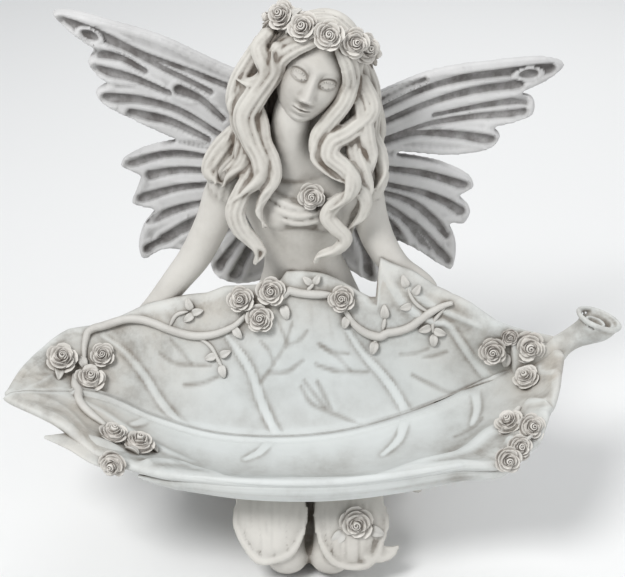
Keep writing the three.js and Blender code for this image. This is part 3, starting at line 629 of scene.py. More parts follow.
def foldRims(parts):
    lip, wall, lobe = dish["lip"], dish["wallUnder"], dish["lobe"]
    sweep(parts, alongRim(lip), lip["widths"], lip["depths"], face=(0, -0.3, 1), around=14, along=80)
    sweep(parts, alongRim(wall), wall["widths"], wall["depths"], face=(0, -1, -0.25), around=48, along=80,
          strands=12, groove=0.035)
    sweep(parts, lobe["route"], lobe["widths"], lobe["depths"], face=(0.1, -0.15, 1),
          around=24, along=30, cup=-0.10)


print("leaf dish")
buildLeafDish()


# The stem and its cup

stem = {
    "route": [(106, -11, 88), (117, -8, 89.5), (125.5, -5, 92.5), (131.5, -4, 97.5), (137.5, -3.3, 101.5),
              (143.5, -3, 105), (147.5, -3, 108.5), (149, -3, 112)],
    "widths": [18, 14, 8.5, 6, 6, 7.6, 10, 11.8],
    "depths": [3, 5.5, 6.6, 5.8, 5.8, 7.4, 9.8, 11.4],
    "mouth": (149, -3, 111.5),
    "mouthFace": (0.30, 0.04, 0.95),
    "ring": {"reach": 10.9, "lift": 0.3, "halfWidth": 1.5, "halfDepth": 1.3},
    # the coil inside the cup: steps, turn of each, reach and depth at the rim, and what each step takes off
    "coil": {"steps": 60, "turn": 0.21, "reach": 9.4, "closing": 0.145, "depth": 2.2, "fall": 0.035,
             "widths": [1.4, 1.3, 1.2, 1.0], "depths": [2.6, 2.4, 2.2, 1.6]},
    "voxel": 0.75,
}


def buildStemCup():
    parts = []
    sweep(parts, stem["route"], stem["widths"], stem["depths"], around=40, along=64,
          ends=(0.3, -0.45), capRows=10)
    face = stem["mouthFace"]
    towards = Vector(face).normalized().to_track_quat("Z", "Y")

    def inMouth(reach, angle, height):
        offset = Vector((reach * math.cos(angle), reach * math.sin(angle), height))
        return Vector(stem["mouth"]) + towards @ offset

    ring, coil = stem["ring"], stem["coil"]
    route = [inMouth(ring["reach"], angle, ring["lift"]) for angle in np.linspace(0, math.tau, 49)]
    sweep(parts, route, ring["halfWidth"], ring["halfDepth"], face=face, around=10, along=100, capRows=2)
    route = []
    for i in range(coil["steps"]):
        reach = coil["reach"] - coil["closing"] * i
        route.append(inMouth(reach, -coil["turn"] * i, -coil["depth"] - coil["fall"] * i))
    sweep(parts, route, coil["widths"], coil["depths"], face=face, around=10, along=110, capRows=3)
    finishedPiece("stem_cup", melded(parts, "stem_cup", stem["voxel"], 2), resins["leaf dish"])


print("stem cup")
buildStemCup()

# The wings

wing = {
    "root": 46,
    "slant": 0.2,
    "thickness": 6.0,
    "voxel": 1.0,
    "groove": 2.0,
    "grooveDepth": 2.3,
    "bead": 0.7,
    "rim": 2.2,
    "rimBulge": 0.9,
    "rootBlob": ((-2, 42, 182), (26, 13, 40)),
    "outlines": {
        "upperLeft": [
            [(-14, 220), (-39, 227), (-76, 242), (-101, 248), (-120, 252), (-131, 251), (-121, 240),
             (-110, 233)],
            [(-110, 233), (-114, 226), (-110, 219), (-104, 215)],
            [(-104, 215), (-111, 210), (-108, 204), (-90, 195), (-67, 186), (-43, 182), (-14, 180),
             (-14, 220)],
        ],
        "upperRight": [
            [(14, 205), (33, 213), (65, 224), (98, 227), (124, 227), (134, 223), (125, 215), (111, 209)],
            [(111, 209), (119, 205), (119, 197), (109, 193), (97, 191)],
            [(97, 191), (102, 186), (98, 180), (80, 177), (41, 182), (14, 180), (14, 205)],
        ],
        "lowerLeft": [
            [(-14, 188), (-43, 186), (-70, 185), (-92, 177), (-100, 170), (-89, 164)],
            [(-89, 164), (-93, 154), (-95, 148), (-82, 145)],
            [(-82, 145), (-90, 134), (-93, 122), (-91, 115), (-78, 122), (-64, 121), (-54, 118)],
            [(-54, 118), (-51, 109), (-41, 105), (-26, 108), (-14, 120), (-14, 188)],
        ],
        "lowerRight": [
            [(14, 186), (44, 180), (70, 173), (87, 163), (89, 158), (81, 153)],
            [(81, 153), (88, 144), (85, 137), (76, 138)],
            [(76, 138), (81, 125), (79, 110), (70, 115), (60, 123), (48, 130)],
            [(48, 130), (46, 114), (37, 106), (26, 112), (14, 124), (14, 186)],
        ],
    },
    # grooves between the veins: (x, z) places from the rim inwards
    "grooves": {
        "upperLeft": [
            [(-126, 247), (-105, 240), (-86, 232), (-60, 224), (-36, 216)],
            [(-101, 238), (-76, 226), (-50, 214)], [(-113, 231), (-96, 229), (-84, 223)],
            [(-110, 222), (-92, 219), (-72, 212)], [(-105, 207), (-88, 207), (-68, 203), (-44, 190)],
            [(-66, 214), (-56, 210), (-44, 200)], [(-92, 199), (-74, 197), (-52, 188)],
        ],
        "upperRight": [
            [(126, 222), (105, 221), (78, 219), (58, 214), (36, 205)],
            [(110, 214), (85, 212), (60, 206), (36, 197)], [(114, 205), (90, 203), (66, 200)],
            [(113, 198), (91, 198), (67, 196), (38, 188)], [(97, 184), (80, 188), (55, 191), (37, 187)],
            [(34, 210), (47, 216), (60, 220)],
        ],
        "lowerLeft": [
            [(-95, 171), (-73, 178), (-46, 178)], [(-84, 165), (-68, 169), (-42, 170)],
            [(-90, 151), (-68, 159), (-46, 163)], [(-87, 138), (-66, 148), (-44, 154)],
            [(-87, 121), (-68, 134), (-44, 144)], [(-50, 112), (-42, 124), (-34, 136)],
            [(-78, 128), (-60, 141), (-42, 149)], [(-57, 122), (-48, 132), (-38, 143)],
            [(-40, 109), (-34, 122), (-28, 134)],
        ],
        "lowerRight": [
            [(84, 159), (60, 168), (38, 173)], [(82, 145), (65, 155), (42, 163)],
            [(76, 131), (56, 151), (36, 160)], [(76, 115), (58, 137), (38, 152)],
            [(42, 112), (38, 128), (30, 142)], [(66, 123), (52, 142), (36, 155)],
            [(33, 110), (31, 124), (26, 138)], [(50, 129), (44, 140), (33, 150)],
        ],
    },
    # the rings near the tips: x, z, half width, half height, turn
    "eyes": {"upperLeft": (-112, 240.5, 5.0, 2.6, 0.35), "upperRight": (115, 219.5, 5.4, 2.6, -0.05)},
}


def wingDepth(x):
    return wing["root"] + wing["slant"] * np.abs(x)


def wingPlates(outlines):
    bm = bmesh.new()
    for outline in outlines.values():
        front = bm.faces.new([bm.verts.new((x, wingDepth(x) - wing["thickness"] / 2, z)) for x, z in outline])
        lifted = bmesh.ops.extrude_face_region(bm, geom=[front])["geom"]
        lifted = [g for g in lifted if isinstance(g, bmesh.types.BMVert)]
        bmesh.ops.translate(bm, vec=(0, wing["thickness"], 0), verts=lifted)
    return meshFrom(bm, "wing plates")


def carveGroove(sunk, flat, side, line):
    # a groove with a soft raised bead on both sides
    low, high = np.min(line, axis=0) - 8, np.max(line, axis=0) + 8
    chosen = np.flatnonzero(side & np.all((flat > low) & (flat < high), axis=1))
    gap, where = distanceToLine(flat[chosen], np.asarray(line, float), 30)
    width = wing["groove"] * (1.15 - 0.55 * where)
    bottom = np.clip(1 - (gap / (width * 1.5)) ** 2, 0, 1) ** 0.8
    deep = np.maximum(sunk[chosen], bottom * wing["grooveDepth"])
    bead = wing["bead"] * hill(gap - width * 2.1, 1.3) * (deep <= 0)
    sunk[chosen] = np.where(bottom > 0, deep, deep - bead)


def carveEye(sunk, ink, flat, side, ahead, eye):
    x, z, halfWidth, halfHeight, turn = eye
    offset = flat - [x, z]
    u = offset[:, 0] * math.cos(turn) - offset[:, 1] * math.sin(turn)
    v = offset[:, 0] * math.sin(turn) + offset[:, 1] * math.cos(turn)
    ring = np.sqrt((u / halfWidth) ** 2 + (v / halfHeight) ** 2)
    carvedAndShaded = np.where(ring < 1, wing["grooveDepth"] * (1 - ring**3), -0.9 * hill(ring - 1.25, 0.22))
    chosen = side & (ring < 1.6)
    sunk[chosen] = carvedAndShaded[chosen]
    ink[:] = np.maximum(ink, 0.4 * side * ahead * np.clip(2.4 - 2.4 * ring, 0, 1))


def buildWings():
    outlines = {}
    for name, lobes in wing["outlines"].items():
        shares = [np.linspace(0, 1, 10 * (len(lobe) - 1), endpoint=False) for lobe in lobes]
        outlines[name] = np.vstack([routeAt(lobe, share) for lobe, share in zip(lobes, shares)])
    parts = [wingPlates(outlines)]
    # the roots run together behind her back
    blob(parts, *wing["rootBlob"])
    mesh = melded(parts, "wings", wing["voxel"], 4)
    points, normals = readPoints(mesh)
    flat = points[:, [0, 2]]
    near = np.abs(points[:, 0]) > 20
    ahead = normals[:, 1] < 0
    sunk = np.zeros(len(points))
    ink = np.zeros(len(points))
    rim = np.full(len(points), 1e9)
    for name, outline in outlines.items():
        side = near & ((points[:, 0] < 0) == name.endswith("Left"))
        for line in wing["grooves"][name]:
            carveGroove(sunk, flat, side, line)
        if name in wing["eyes"]:
            carveEye(sunk, ink, flat, side, ahead, wing["eyes"][name])
        tree = KDTree(len(outline))
        for i, (x, z) in enumerate(outline):
            tree.insert((x, 0, z), i)
        tree.balance()
        for i in np.flatnonzero(side):
            rim[i] = min(rim[i], tree.find((points[i, 0], 0, points[i, 2]))[2])
    # rims stand thicker than the panes
    bulge = np.where(near, wing["rimBulge"] * hill(rim - wing["rim"], 1.8), 0)
    flatness = np.clip(np.abs(normals[:, 1]) * 1.4 - 0.3, 0, 1)
    change = (sunk * np.where(ahead, 1, 0.7) - bulge) * flatness
    points[:, 1] += np.where(ahead, change, -change)
    writePoints(mesh, points)
    finishedPiece("wings", mesh, resins["wings"], ink)


print("wings")
buildWings()

# The head

head = {
    "tilt": math.radians(21),
    "centre": (3, 17, 238),
    "voxel": 0.48,
    "halfWidth": 17.2,
    "halfFront": 17.5,
    "halfBack": 21,
    "halfHeight": 26,
    # rises of the face: height, place beside the middle line and up, breadth and height
    "rises": [
        # cheek, brow, eye hollow and its inner corner
        (1.3, (9.0, -8), (4.6, 4.8)), (0.7, (7.0, 6.0), (5.0, 1.9)), (-1.9, (7.4, 0.4), (4.4, 2.8)),
        (-0.9, (3.7, 0.2), (1.5, 2.4)),
        # the nose's wing and nostril
        (1.7, (2.7, -10.4), (0.95, 1.0)), (-0.8, (1.5, -11.9), (0.6, 0.45)),
        # upper and lower lip, the groove over the lips, the hollow under them, the chin
        (1.7, (1.6, -15.3), (2.0, 0.75)), (2.0, (0, -17.6), (2.6, 0.95)), (-0.5, (0, -13.6), (0.8, 0.9)),
        (-0.8, (0, -19.9), (3.0, 1.0)), (1.5, (0, -22.8), (3.6, 2.2)),
    ],
    # the bridge of the nose: height on the face, rise, half width
    "bridge": [(-13.2, 0), (-12.2, 0.6), (-11.2, 3.2), (-9.8, 4.9), (-8.0, 4.4), (-4, 2.9), (0, 1.7),
               (3, 1.0), (7, 0.4), (11, 0)],
    "bridgeWidth": [(-13, 2.4), (-10, 2.5), (-7, 2.1), (-2, 1.9), (4, 2.3), (9, 3.2)],
    # lids: over (1) or under (-1) the eye, how far off its edge, rise, half thickness
    "lids": [(1, 0.42, 1.25, 0.6), (-1, 0.32, 0.8, 0.55), (1, 1.55, -0.35, 0.5), (1, 2.6, 0.5, 0.9)],
}
headPlace = Matrix.Translation(head["centre"]) @ Matrix.Rotation(head["tilt"], 4, "Y")


def hump(x, z, at, size):
    return np.exp(-0.5 * (((x - at[0]) / size[0]) ** 2 + ((z - at[1]) / size[1]) ** 2))


def faceRelief(x, z):
    # how far each place of the front stands out, from plain face proportions: eyes half way down the head,
    # the nose's foot half way from there to the chin, the mouth a third of the way on
    side = np.abs(x)
    rise = sum(height * hump(side, z, at, size) for height, at, size in head["rises"])
    spread = np.interp(z, *zip(*head["bridgeWidth"]))
    rise += np.interp(z, *zip(*head["bridge"])) * np.exp(-0.5 * (x / spread) ** 2)
    # eyes: a ball between two lids
    u = (side - 7.4) / 3.9
    v = z + 0.4 - 0.3 * u
    opening = np.clip(1 - u**2, 0, 1) ** 0.8
    arch, floor = 1.75 * opening, -1.35 * opening
    inside = (np.abs(u) < 1) & (v < arch) & (v > floor)
    rise += np.where(inside, 0.95 + 0.5 * np.clip(1 - u**2 - (v / 2.2) ** 2, 0, 1), 0)
    lidShare = np.clip(1.15 - np.abs(u), 0, 0.3) / 0.3
    for way, off, height, half in head["lids"]:
        rise += height * lidShare * hill(v - (arch + off if way > 0 else floor - off), half)
    # the line between the lips
    seam = -16.35 + 0.35 * np.clip(side / 4, 0, 1.2) ** 2
    rise -= 1.25 * hill(z - seam, 0.4) * np.clip(1.2 - (side / 4.7) ** 4, 0, 1)
    return rise


def buildHead():
    parts = []
    mesh, ball = ballOf(96, 64)
    low = np.clip(-ball[:, 2], 0, 1)
    x = head["halfWidth"] * ball[:, 0] * (1 - 0.12 * low**1.8)
    front, back = head["halfFront"] * (1 - 0.04 * low), head["halfBack"] * (1 - 0.35 * low**2)
    y = np.where(ball[:, 1] < 0, front, back) * ball[:, 1]
    shaped(parts, mesh, np.stack([x, y - 3.0 * low**2.2, head["halfHeight"] * ball[:, 2]], 1))
    # ears stay under the hair, a small rise marks each
    for hand in (-1, 1):
        blob(parts, (hand * 17, 3, -4), (2.4, 4.5, 7))
    mesh = melded(parts, "head", head["voxel"], 6)
    points, normals = readPoints(mesh)
    front = np.clip(-normals[:, 1] * 1.5 - 0.1, 0, 1) * (points[:, 2] > -27)
    points[:, 1] -= faceRelief(points[:, 0], points[:, 2]) * front
    writePoints(mesh, points)
    mesh.transform(headPlace)
    finishedPiece("head", mesh, resins["face"])


print("head")
buildHead()

# The hair

hair = {
    "voxel": 0.70,
    "backVoxel": 1.0,
    # long wavy locks: route and half width
    "locks": [
        ([(-18, 12, 258), (-23, 10, 252), (-21, 8, 246), (-19, 8, 240), (-24, 8, 235), (-29, 10, 234),
          (-32, 14, 236)], 4.4),
        ([(-17, 24, 256), (-25, 20, 244), (-32, 16, 232), (-34, 15, 222), (-31, 15, 211), (-33, 15, 200),
          (-39, 14, 188)], 6.0),
        ([(-13, 8, 252), (-17, 8, 240), (-25, 8, 228), (-30, 8, 218), (-27, 7, 206), (-23, 5, 197),
          (-23, 4, 188), (-29, 4, 181), (-36, 6, 175)], 6.0),
        ([(-27, 9, 190), (-33, 5, 178), (-36, 3, 169), (-33, 2, 160), (-28, 2, 154), (-24, 2, 148),
          (-27, 2, 141)], 5.0),
        ([(-36, 22, 204), (-44, 20, 193), (-48, 18, 185), (-45, 14, 180)], 6.5),
        ([(-20, 10, 238), (-31, 12, 224), (-33, 12, 214), (-29, 11, 204), (-31, 10, 194), (-38, 10, 186),
          (-42, 11, 180)], 5.0),
        ([(-25, 12, 224), (-22, 9, 214), (-21, 7, 205), (-17, 5, 196), (-16, 4, 187), (-21, 4, 178),
          (-24, 4, 170), (-21, 4, 160)], 3.8),
        ([(23, 10, 246), (21, 8, 236), (18, 7, 226), (11, 7, 216), (5, 7, 207), (5, 6, 198), (12, 4, 191),
          (19, 3, 186)], 4.6),
        ([(26, 14, 234), (31, 12, 220), (21, 9, 210), (12, 6, 205), (11, 4, 199), (18, 2, 193), (23, 1, 186),
          (21, 0, 179), (13, 0, 173)], 5.4),
        ([(21, 0, 180), (13, 0, 174), (10, 0, 168), (14, 0, 162), (19, 0, 156), (15, 0, 150), (7, 0, 147),
          (3, 1, 142)], 4.2),
        ([(26, 24, 240), (30, 22, 227), (30, 21, 214), (30, 19, 204), (35, 17, 195), (37, 15, 186),
          (34, 13, 177)], 6.2),
        ([(26, 15, 210), (23, 10, 200), (27, 7, 190), (30, 7, 180), (28, 7, 171)], 4.4),
        ([(24, 12, 228), (27, 11, 218), (29, 10, 206), (31, 10, 196), (29, 9, 187), (25, 6, 181)], 4.4),
        ([(19, 3, 190), (25, 4, 182), (29, 5, 174), (27, 5, 166), (21, 4, 160)], 3.6),
    ],
    "lockWidths": [0.75, 1, 1.05, 0.9, 0.65, 0.18],
    "lockDepths": [0.6, 0.78, 0.8, 0.72, 0.55, 0.18],
    "strays": 2,
    # seven locks lie over each side of the skull
    "capLocks": 7,
    "capWidths": [2.5, 5.0, 6.2, 6.4, 6.0, 3.0],
    "capDepths": [2.0, 3.4, 3.8, 4.0, 3.8, 2.2],
    "skull": (19.6, 21.5, 27.5),
    # the mass behind: round the head, down her back and over each shoulder
    "crown": ((8, 24, 243), (20.5, 19.5, 23)),
    "mass": [(4, 30, 256), (0, 36, 235), (-2, 38, 205), (-2, 44, 180), (-2, 45, 150), (-2, 44, 130)],
    "massWidths": [16, 26, 30, 27, 22, 10],
    "massDepths": [8, 12, 13, 8, 6, 4],
    "backLocks": 11,
    "backTop": 258,
    "backEnd": 128,
    "backWidths": [3.0, 5.2, 5.6, 5.2, 4.4, 1.0],
    "backDepths": [2.4, 4.0, 4.2, 3.8, 3.0, 0.8],
}


def capRoute(hand, k, count):
    # from the parting down over the skull, in the head's own places, clear of the face
    share = k / (count - 1)
    points = [(0.8, -11 + 25 * share, 26), (8, -14.5 + 28 * share, 19.5), (14.5, -12.5 + 29 * share, 12),
              (18.4, -8.0 + 25 * share, 2), (19.2, -6.5 + 22 * share, -8), (18.6, -5.0 + 20 * share, -17)]
    route = []
    for i, (x, y, z) in enumerate(points):
        place = Vector((hand * x, y, z))
        size = Vector([a / half for a, half in zip(place, hair["skull"])]).length
        route.append(headPlace @ (place / size if i < 5 else place))
    return route


def buildFrontHair():
    parts = []
    rng = np.random.default_rng(5)
    for places, size in hair["locks"]:
        route = np.array(places, float)
        length = np.linalg.norm(np.diff(route, axis=0), axis=1).sum()
        widths, depths = size * np.array(hair["lockWidths"]), size * np.array(hair["lockDepths"])
        sweep(parts, route, widths, depths, around=96, along=int(length / 0.9), strands=9, groove=0.2,
              twist=rng.uniform(1.2, 2.6))
        # stray strands ride over each lock
        for _ in range(hair["strays"]):
            swing = rng.uniform(-0.6, 0.6, (len(route), 1)) * size * [1, 0.25, 0.2] - [0, size * 0.4, 0]
            widths = [0.4, size * 0.34, size * 0.36, size * 0.28, 0.3]
            sweep(parts, route + swing, widths, size * 0.3, around=16, along=int(length))
    centre = headPlace @ Vector((0, 2, 0))
    for hand in (-1, 1):
        for k in range(hair["capLocks"]):
            route = capRoute(hand, k, hair["capLocks"])
            sweep(parts, route, hair["capWidths"], hair["capDepths"], face=route[2] - centre,
                  around=64, along=50, strands=8, groove=0.30, twist=0.5)
    finishedPiece("front_hair", melded(parts, "front_hair", hair["voxel"], 3), resins["hair"])


def backRoute(k, share):
    # a waved lock down her back: share runs from her right side (-1) to her left side (1)
    sway = 3.2 * math.sin(k * 2.1)
    end = hair["backEnd"] + 14 * abs(share) + 5 * math.sin(k * 1.7)
    route = []
    for fall in np.linspace(0, 1, 9):
        spread = np.interp(fall, [0, 0.25, 0.5, 0.8, 1], [14, 27, 30, 26, 17])
        back = np.interp(fall, [0, 0.2, 0.45, 0.65, 1], [42, 51, 53, 54, 50]) - 13 * abs(share) ** 2.2
        wave = (2.4 + 1.2 * fall) * math.sin(fall * 11 + k * 0.9) + sway * fall
        height = hair["backTop"] * (1 - fall) + end * fall
        route.append((4 * (1 - fall) - 1 + share * spread + wave, back, height))
    return route


def buildBackHair():
    parts = []
    blob(parts, *hair["crown"])
    sweep(parts, hair["mass"], hair["massWidths"], hair["massDepths"], face=(0, 1, 0), around=48, along=70,
          strands=14, groove=0.08)
    for hand in (-1, 1):
        route = [(hand * 23 + 1, 24, 238), (hand * 28, 26, 218), (hand * 28, 28, 196), (hand * 25, 30, 178)]
        sweep(parts, route, [7, 9, 10, 6], [8, 9, 9, 6],
              around=48, along=50, strands=9, groove=0.2, twist=1.5)
    for k, share in enumerate(np.linspace(-1, 1, hair["backLocks"])):
        sweep(parts, backRoute(k, share), hair["backWidths"], hair["backDepths"], face=(0.5 * share, 1, 0),
              around=48, along=110, strands=7, groove=0.28, twist=2.0)
    finishedPiece("back_hair", melded(parts, "back_hair", hair["backVoxel"], 1), resins["hair"])


print("hair")
buildFrontHair()
buildBackHair()

# The body and arms

figure = {
    "voxel": 1.15,
    "torso": [(-3, 27, 188), (-4, 26, 182), (-4, 25, 172), (-4, 24, 160), (-3, 25, 138), (-1, 28, 118),
              (0, 31, 98), (0, 33, 72), (0, 35, 45)],
    "torsoWidths": [10, 27, 35, 28, 20, 25, 32, 37, 38],
    "torsoDepths": [9, 13, 17, 17, 15, 18, 24, 29, 28],
    "neck": [(-4, 25, 174), (-6, 23, 184), (-8, 20.5, 194), (-9, 18, 205), (-7, 17, 216), (-4, 18, 226)],
    "neckWidths": [28, 17, 11, 9.6, 9.8, 9],
    "neckDepths": [13, 11.5, 9.6, 9, 9.4, 9],
    "bust": [((-13, 14.5, 164), (11, 8.5, 10.5)), ((7, 14.5, 164), (11, 8.5, 10.5))],
    # folds of the bodice: route and half size
    "folds": [
        ([(-24, 12, 179), (-14, 8, 173), (-5, 5.5, 170.5), (3, 5, 171)], 1.6),
        ([(-25, 12, 174), (-15, 7.5, 168.5), (-5, 5, 166), (4, 5, 167.5), (12, 6, 170)], 1.7),
        ([(-25, 12, 169), (-15, 7.6, 164), (-5, 5.4, 161.5), (5, 5.8, 163), (14, 8, 167)], 1.5),
        ([(3, 5, 172), (11, 6, 174), (18, 9, 178)], 1.5),
    ],
    # puffed sleeves, gathered in pleats: route and half size
    "sleeves": [
        ([(-22, 27, 190), (-31, 24, 188), (-39, 23, 181), (-42, 24, 171)], 11.5),
        ([(16, 27, 190), (24, 24, 188), (30, 23, 181), (31, 24, 172)], 11),
    ],
    # arms: route, and where along the leaf each hand holds it
    "arms": [
        ([(-30, 26, 180), (-41, 26, 174), (-49, 24, 154), (-58, 20, 137), (-68, 18, 124), (-79, 16, 110)],
         0.235),
        ([(22, 26, 180), (29, 26, 170), (32, 24, 158), (37, 20, 145), (46, 17, 132), (62, 14, 118)], 0.74),
    ],
    "armWidths": [9.5, 9.5, 9.0, 8.4, 7.4, 6.6, 6.4, 8.0, 7.0],
    "armDepths": [9.5, 9.5, 9.0, 8.4, 7.4, 6.2, 4.8, 3.8, 3.2],
    "fingers": (-0.036, -0.012, 0.012, 0.036),
    "fingerRadius": 2.4,
    "thumb": 0.06,
}


def underDish(s, t, drop):
    return (dishAt(s, t) - dishNormal(s, t) * (dish["wall"] / 2 + drop)).tolist()


def addHand(parts, hand):
    # four fingers and a thumb hold the leaf from below
    radius = figure["fingerRadius"]
    for spread in figure["fingers"]:
        s = hand + spread
        route = [underDish(hand + spread * 0.8, 0.46, 1.5), underDish(s, 0.32, 1.3), underDish(s, 0.18, 1.2),
                 underDish(s, 0.06, 1)]
        sweep(parts, route, [radius, radius, radius * 0.95, radius * 0.75], radius, around=14, along=30)
    thumb = hand + (figure["thumb"] if hand < 0.5 else -figure["thumb"])
    route = [underDish(hand, 0.56, 2), underDish((hand + thumb) / 2, 0.44, 1.6), underDish(thumb, 0.3, 1.2)]
    sweep(parts, route, [3, 2.8, 2], 2.6, around=14, along=24)


def buildFigure():
    parts = []
    sweep(parts, figure["torso"], figure["torsoWidths"], figure["torsoDepths"], around=48, along=70)
    sweep(parts, figure["neck"], figure["neckWidths"], figure["neckDepths"], around=40, along=50)
    for place, sizes in figure["bust"]:
        blob(parts, place, sizes)
    for route, size in figure["folds"]:
        sizes = [size * 0.5, size, size, size * 0.5]
        sweep(parts, route, sizes, sizes, around=12, along=30)
    for places, hand in figure["arms"]:
        route = places + [underDish(hand, 0.7, 5), underDish(hand, 0.5, 3.5), underDish(hand, 0.36, 2.5)]
        sweep(parts, route, figure["armWidths"], figure["armDepths"], around=32, along=80)
        addHand(parts, hand)
    for route, size in figure["sleeves"]:
        widths, depths = [size * 0.7, size, size * 1.05, size * 0.8], [size * 0.7, size, size, size * 0.8]
        sweep(parts, route, widths, depths, face=(0, -1, 0.2), around=96, along=48, strands=15, groove=0.2,
              twist=0.6, ends=(0.5, 0.5))
    mesh = melded(parts, "figure", figure["voxel"], 2)
    clearDish(mesh)
    finishedPiece("figure", mesh, resins["figure"])


def clearDish(mesh):
    # nothing of her comes up through the floor of the dish or down through the ground
    points = readPoints(mesh)[0]
    grid = np.meshgrid(np.linspace(0.02, 0.98, 120), np.linspace(-0.97, 0.93, 80))
    floor = dishAt(grid[0].ravel(), grid[1].ravel())
    tree = KDTree(len(floor))
    for i, (x, y, z) in enumerate(floor):
        tree.insert((x, y, 0), i)
    tree.balance()
    for i in np.flatnonzero((points[:, 2] > 50) & (points[:, 2] < 134) & (points[:, 1] < 6)):
        _, index, gap = tree.find((points[i, 0], points[i, 1], 0))
        if gap < 1.8:
            points[i, 2] = min(points[i, 2], floor[index, 2] - 1.0)
    points[:, 2] = np.maximum(points[:, 2], 0)
    writePoints(mesh, points)


print("figure")
buildFigure()

# The petal skirt and the knees under it

skirt = {
    "voxel": 1.3,
    "thigh": {"widths": [17, 17, 14, 10.6], "depths": [17, 17, 13, 10.5]},
    "shin": {"widths": [9.5, 14, 10, 5], "depths": [8.5, 13, 9, 4.5]},
    "kneeShift": 0.7,
    "bell": {"route": [(0, 34, 112), (0, 32, 88), (0, 30, 62), (0, 29, 38), (0, 28, 13)],
             "widths": [22, 30, 40, 45, 45], "depths": [17, 23, 31, 38, 38]},
    # petals: route, half breadth, the way the outer side looks
    "petals": [
        ([(-13, 12, 92), (-17, -6, 62), (-19, -34, 50), (-18.5, -56, 45), (-18.5, -68, 37), (-20, -74.5, 27),
          (-22.5, -77, 19)], [12, 18, 18.5, 18.5, 18, 15.5, 9], (0, -1, 0.9)),
        ([(13, 12, 92), (17, -6, 62), (20, -34, 50), (20.5, -57, 45), (21.5, -69, 36), (24.5, -75.5, 25),
          (28.5, -77.5, 17.5)], [12, 18, 18, 18, 18, 16, 10], (0, -1, 0.9)),
        ([(-22, 20, 96), (-38, 6, 66), (-48, -8, 48), (-56, -22, 23)], [15, 22, 23, 8], (-1, -0.4, 0.5)),
        ([(22, 20, 96), (38, 6, 66), (48, -8, 48), (57, -22, 23)], [15, 22, 23, 8], (1, -0.4, 0.5)),
        ([(-26, 36, 96), (-42, 44, 66), (-50, 50, 42), (-54, 54, 16)], [15, 21, 22, 8], (-1, 0.5, 0.3)),
        ([(26, 36, 96), (42, 44, 66), (50, 50, 42), (54, 54, 16)], [15, 21, 22, 8], (1, 0.5, 0.3)),
        ([(-14, 46, 98), (-20, 62, 66), (-24, 70, 40), (-25, 77, 14)], [15, 21, 22, 8], (-0.4, 1, 0.3)),
        ([(14, 46, 98), (20, 62, 66), (24, 70, 40), (25, 77, 14)], [15, 21, 22, 8], (0.4, 1, 0.3)),
    ],
    "thickness": [2.6, 3, 3, 2.8, 1.8],
    "cup": 0.16,
    # the lip round a petal's end: places along it and across it, half sizes
    "lip": [(0.62, -1), (0.76, -1), (0.88, -1), (0.97, -0.9), (1.0, 0), (0.97, 0.9), (0.88, 1), (0.76, 1),
            (0.62, 1)],
    "lipWidths": [0.8, 1.6, 2.0, 2.1, 2.0, 1.6, 0.8],
    "lipDepths": [0.8, 1.5, 1.8, 1.9, 1.8, 1.5, 0.8],
    # the curled tip of the left front petal
    "tip": {"route": [(29, -75.5, 21), (35, -75, 18), (41, -73, 17.5), (45.5, -70.5, 19.5)],
            "widths": [5, 5, 3.6, 1.2], "depths": [1.8, 1.8, 1.6, 0.8]},
    "veinDepth": 0.28,
    "veinInk": 0.22,
}


def addPetal(parts, places, breadth, facing):
    sweep(parts, places, breadth, skirt["thickness"], face=facing, around=120, along=70, cup=skirt["cup"],
          strands=52, groove=0.26, ends=(0.6, 0.35))
    # a rolled lip follows the petal's edge round its end
    route, face = np.array(places, float), np.array(facing, float)
    lip = []
    for t, hand in skirt["lip"]:
        forward = unit(routeAt(route, min(t + 0.02, 1.0)) - routeAt(route, t - 0.02))
        out = unit(face - forward * (face @ forward))
        width = valueAt(breadth, t)
        place = routeAt(route, t) + np.cross(forward, out) * width * hand
        place = place - out * (skirt["cup"] * width * hand**2 - 0.8)
        lip.append(place + forward * (0.35 * width if hand == 0 else 0))
    sweep(parts, lip, skirt["lipWidths"], skirt["lipDepths"], face=face, around=14, along=70)


def petalVeins(points, normals):
    # uneven veins run down the petals
    x, y, z = points.T
    across = np.where((y < 10) & (z > 15), x, np.arctan2(x, y - 28) * 46)
    bend = 1.3 * np.sin(z * 0.11 + across * 0.2) + 0.8 * np.sin(across * 0.63)
    line = np.clip(np.sin(across * 1.75 + bend) - 0.15, 0, 1)
    line *= np.clip(np.sin(z * 0.17 + across * 0.9) + 0.75, 0, 1)
    return line * np.clip((z - 14) / 8, 0, 1) * np.clip(1.4 - 1.6 * np.abs(normals[:, 2]), 0, 1)


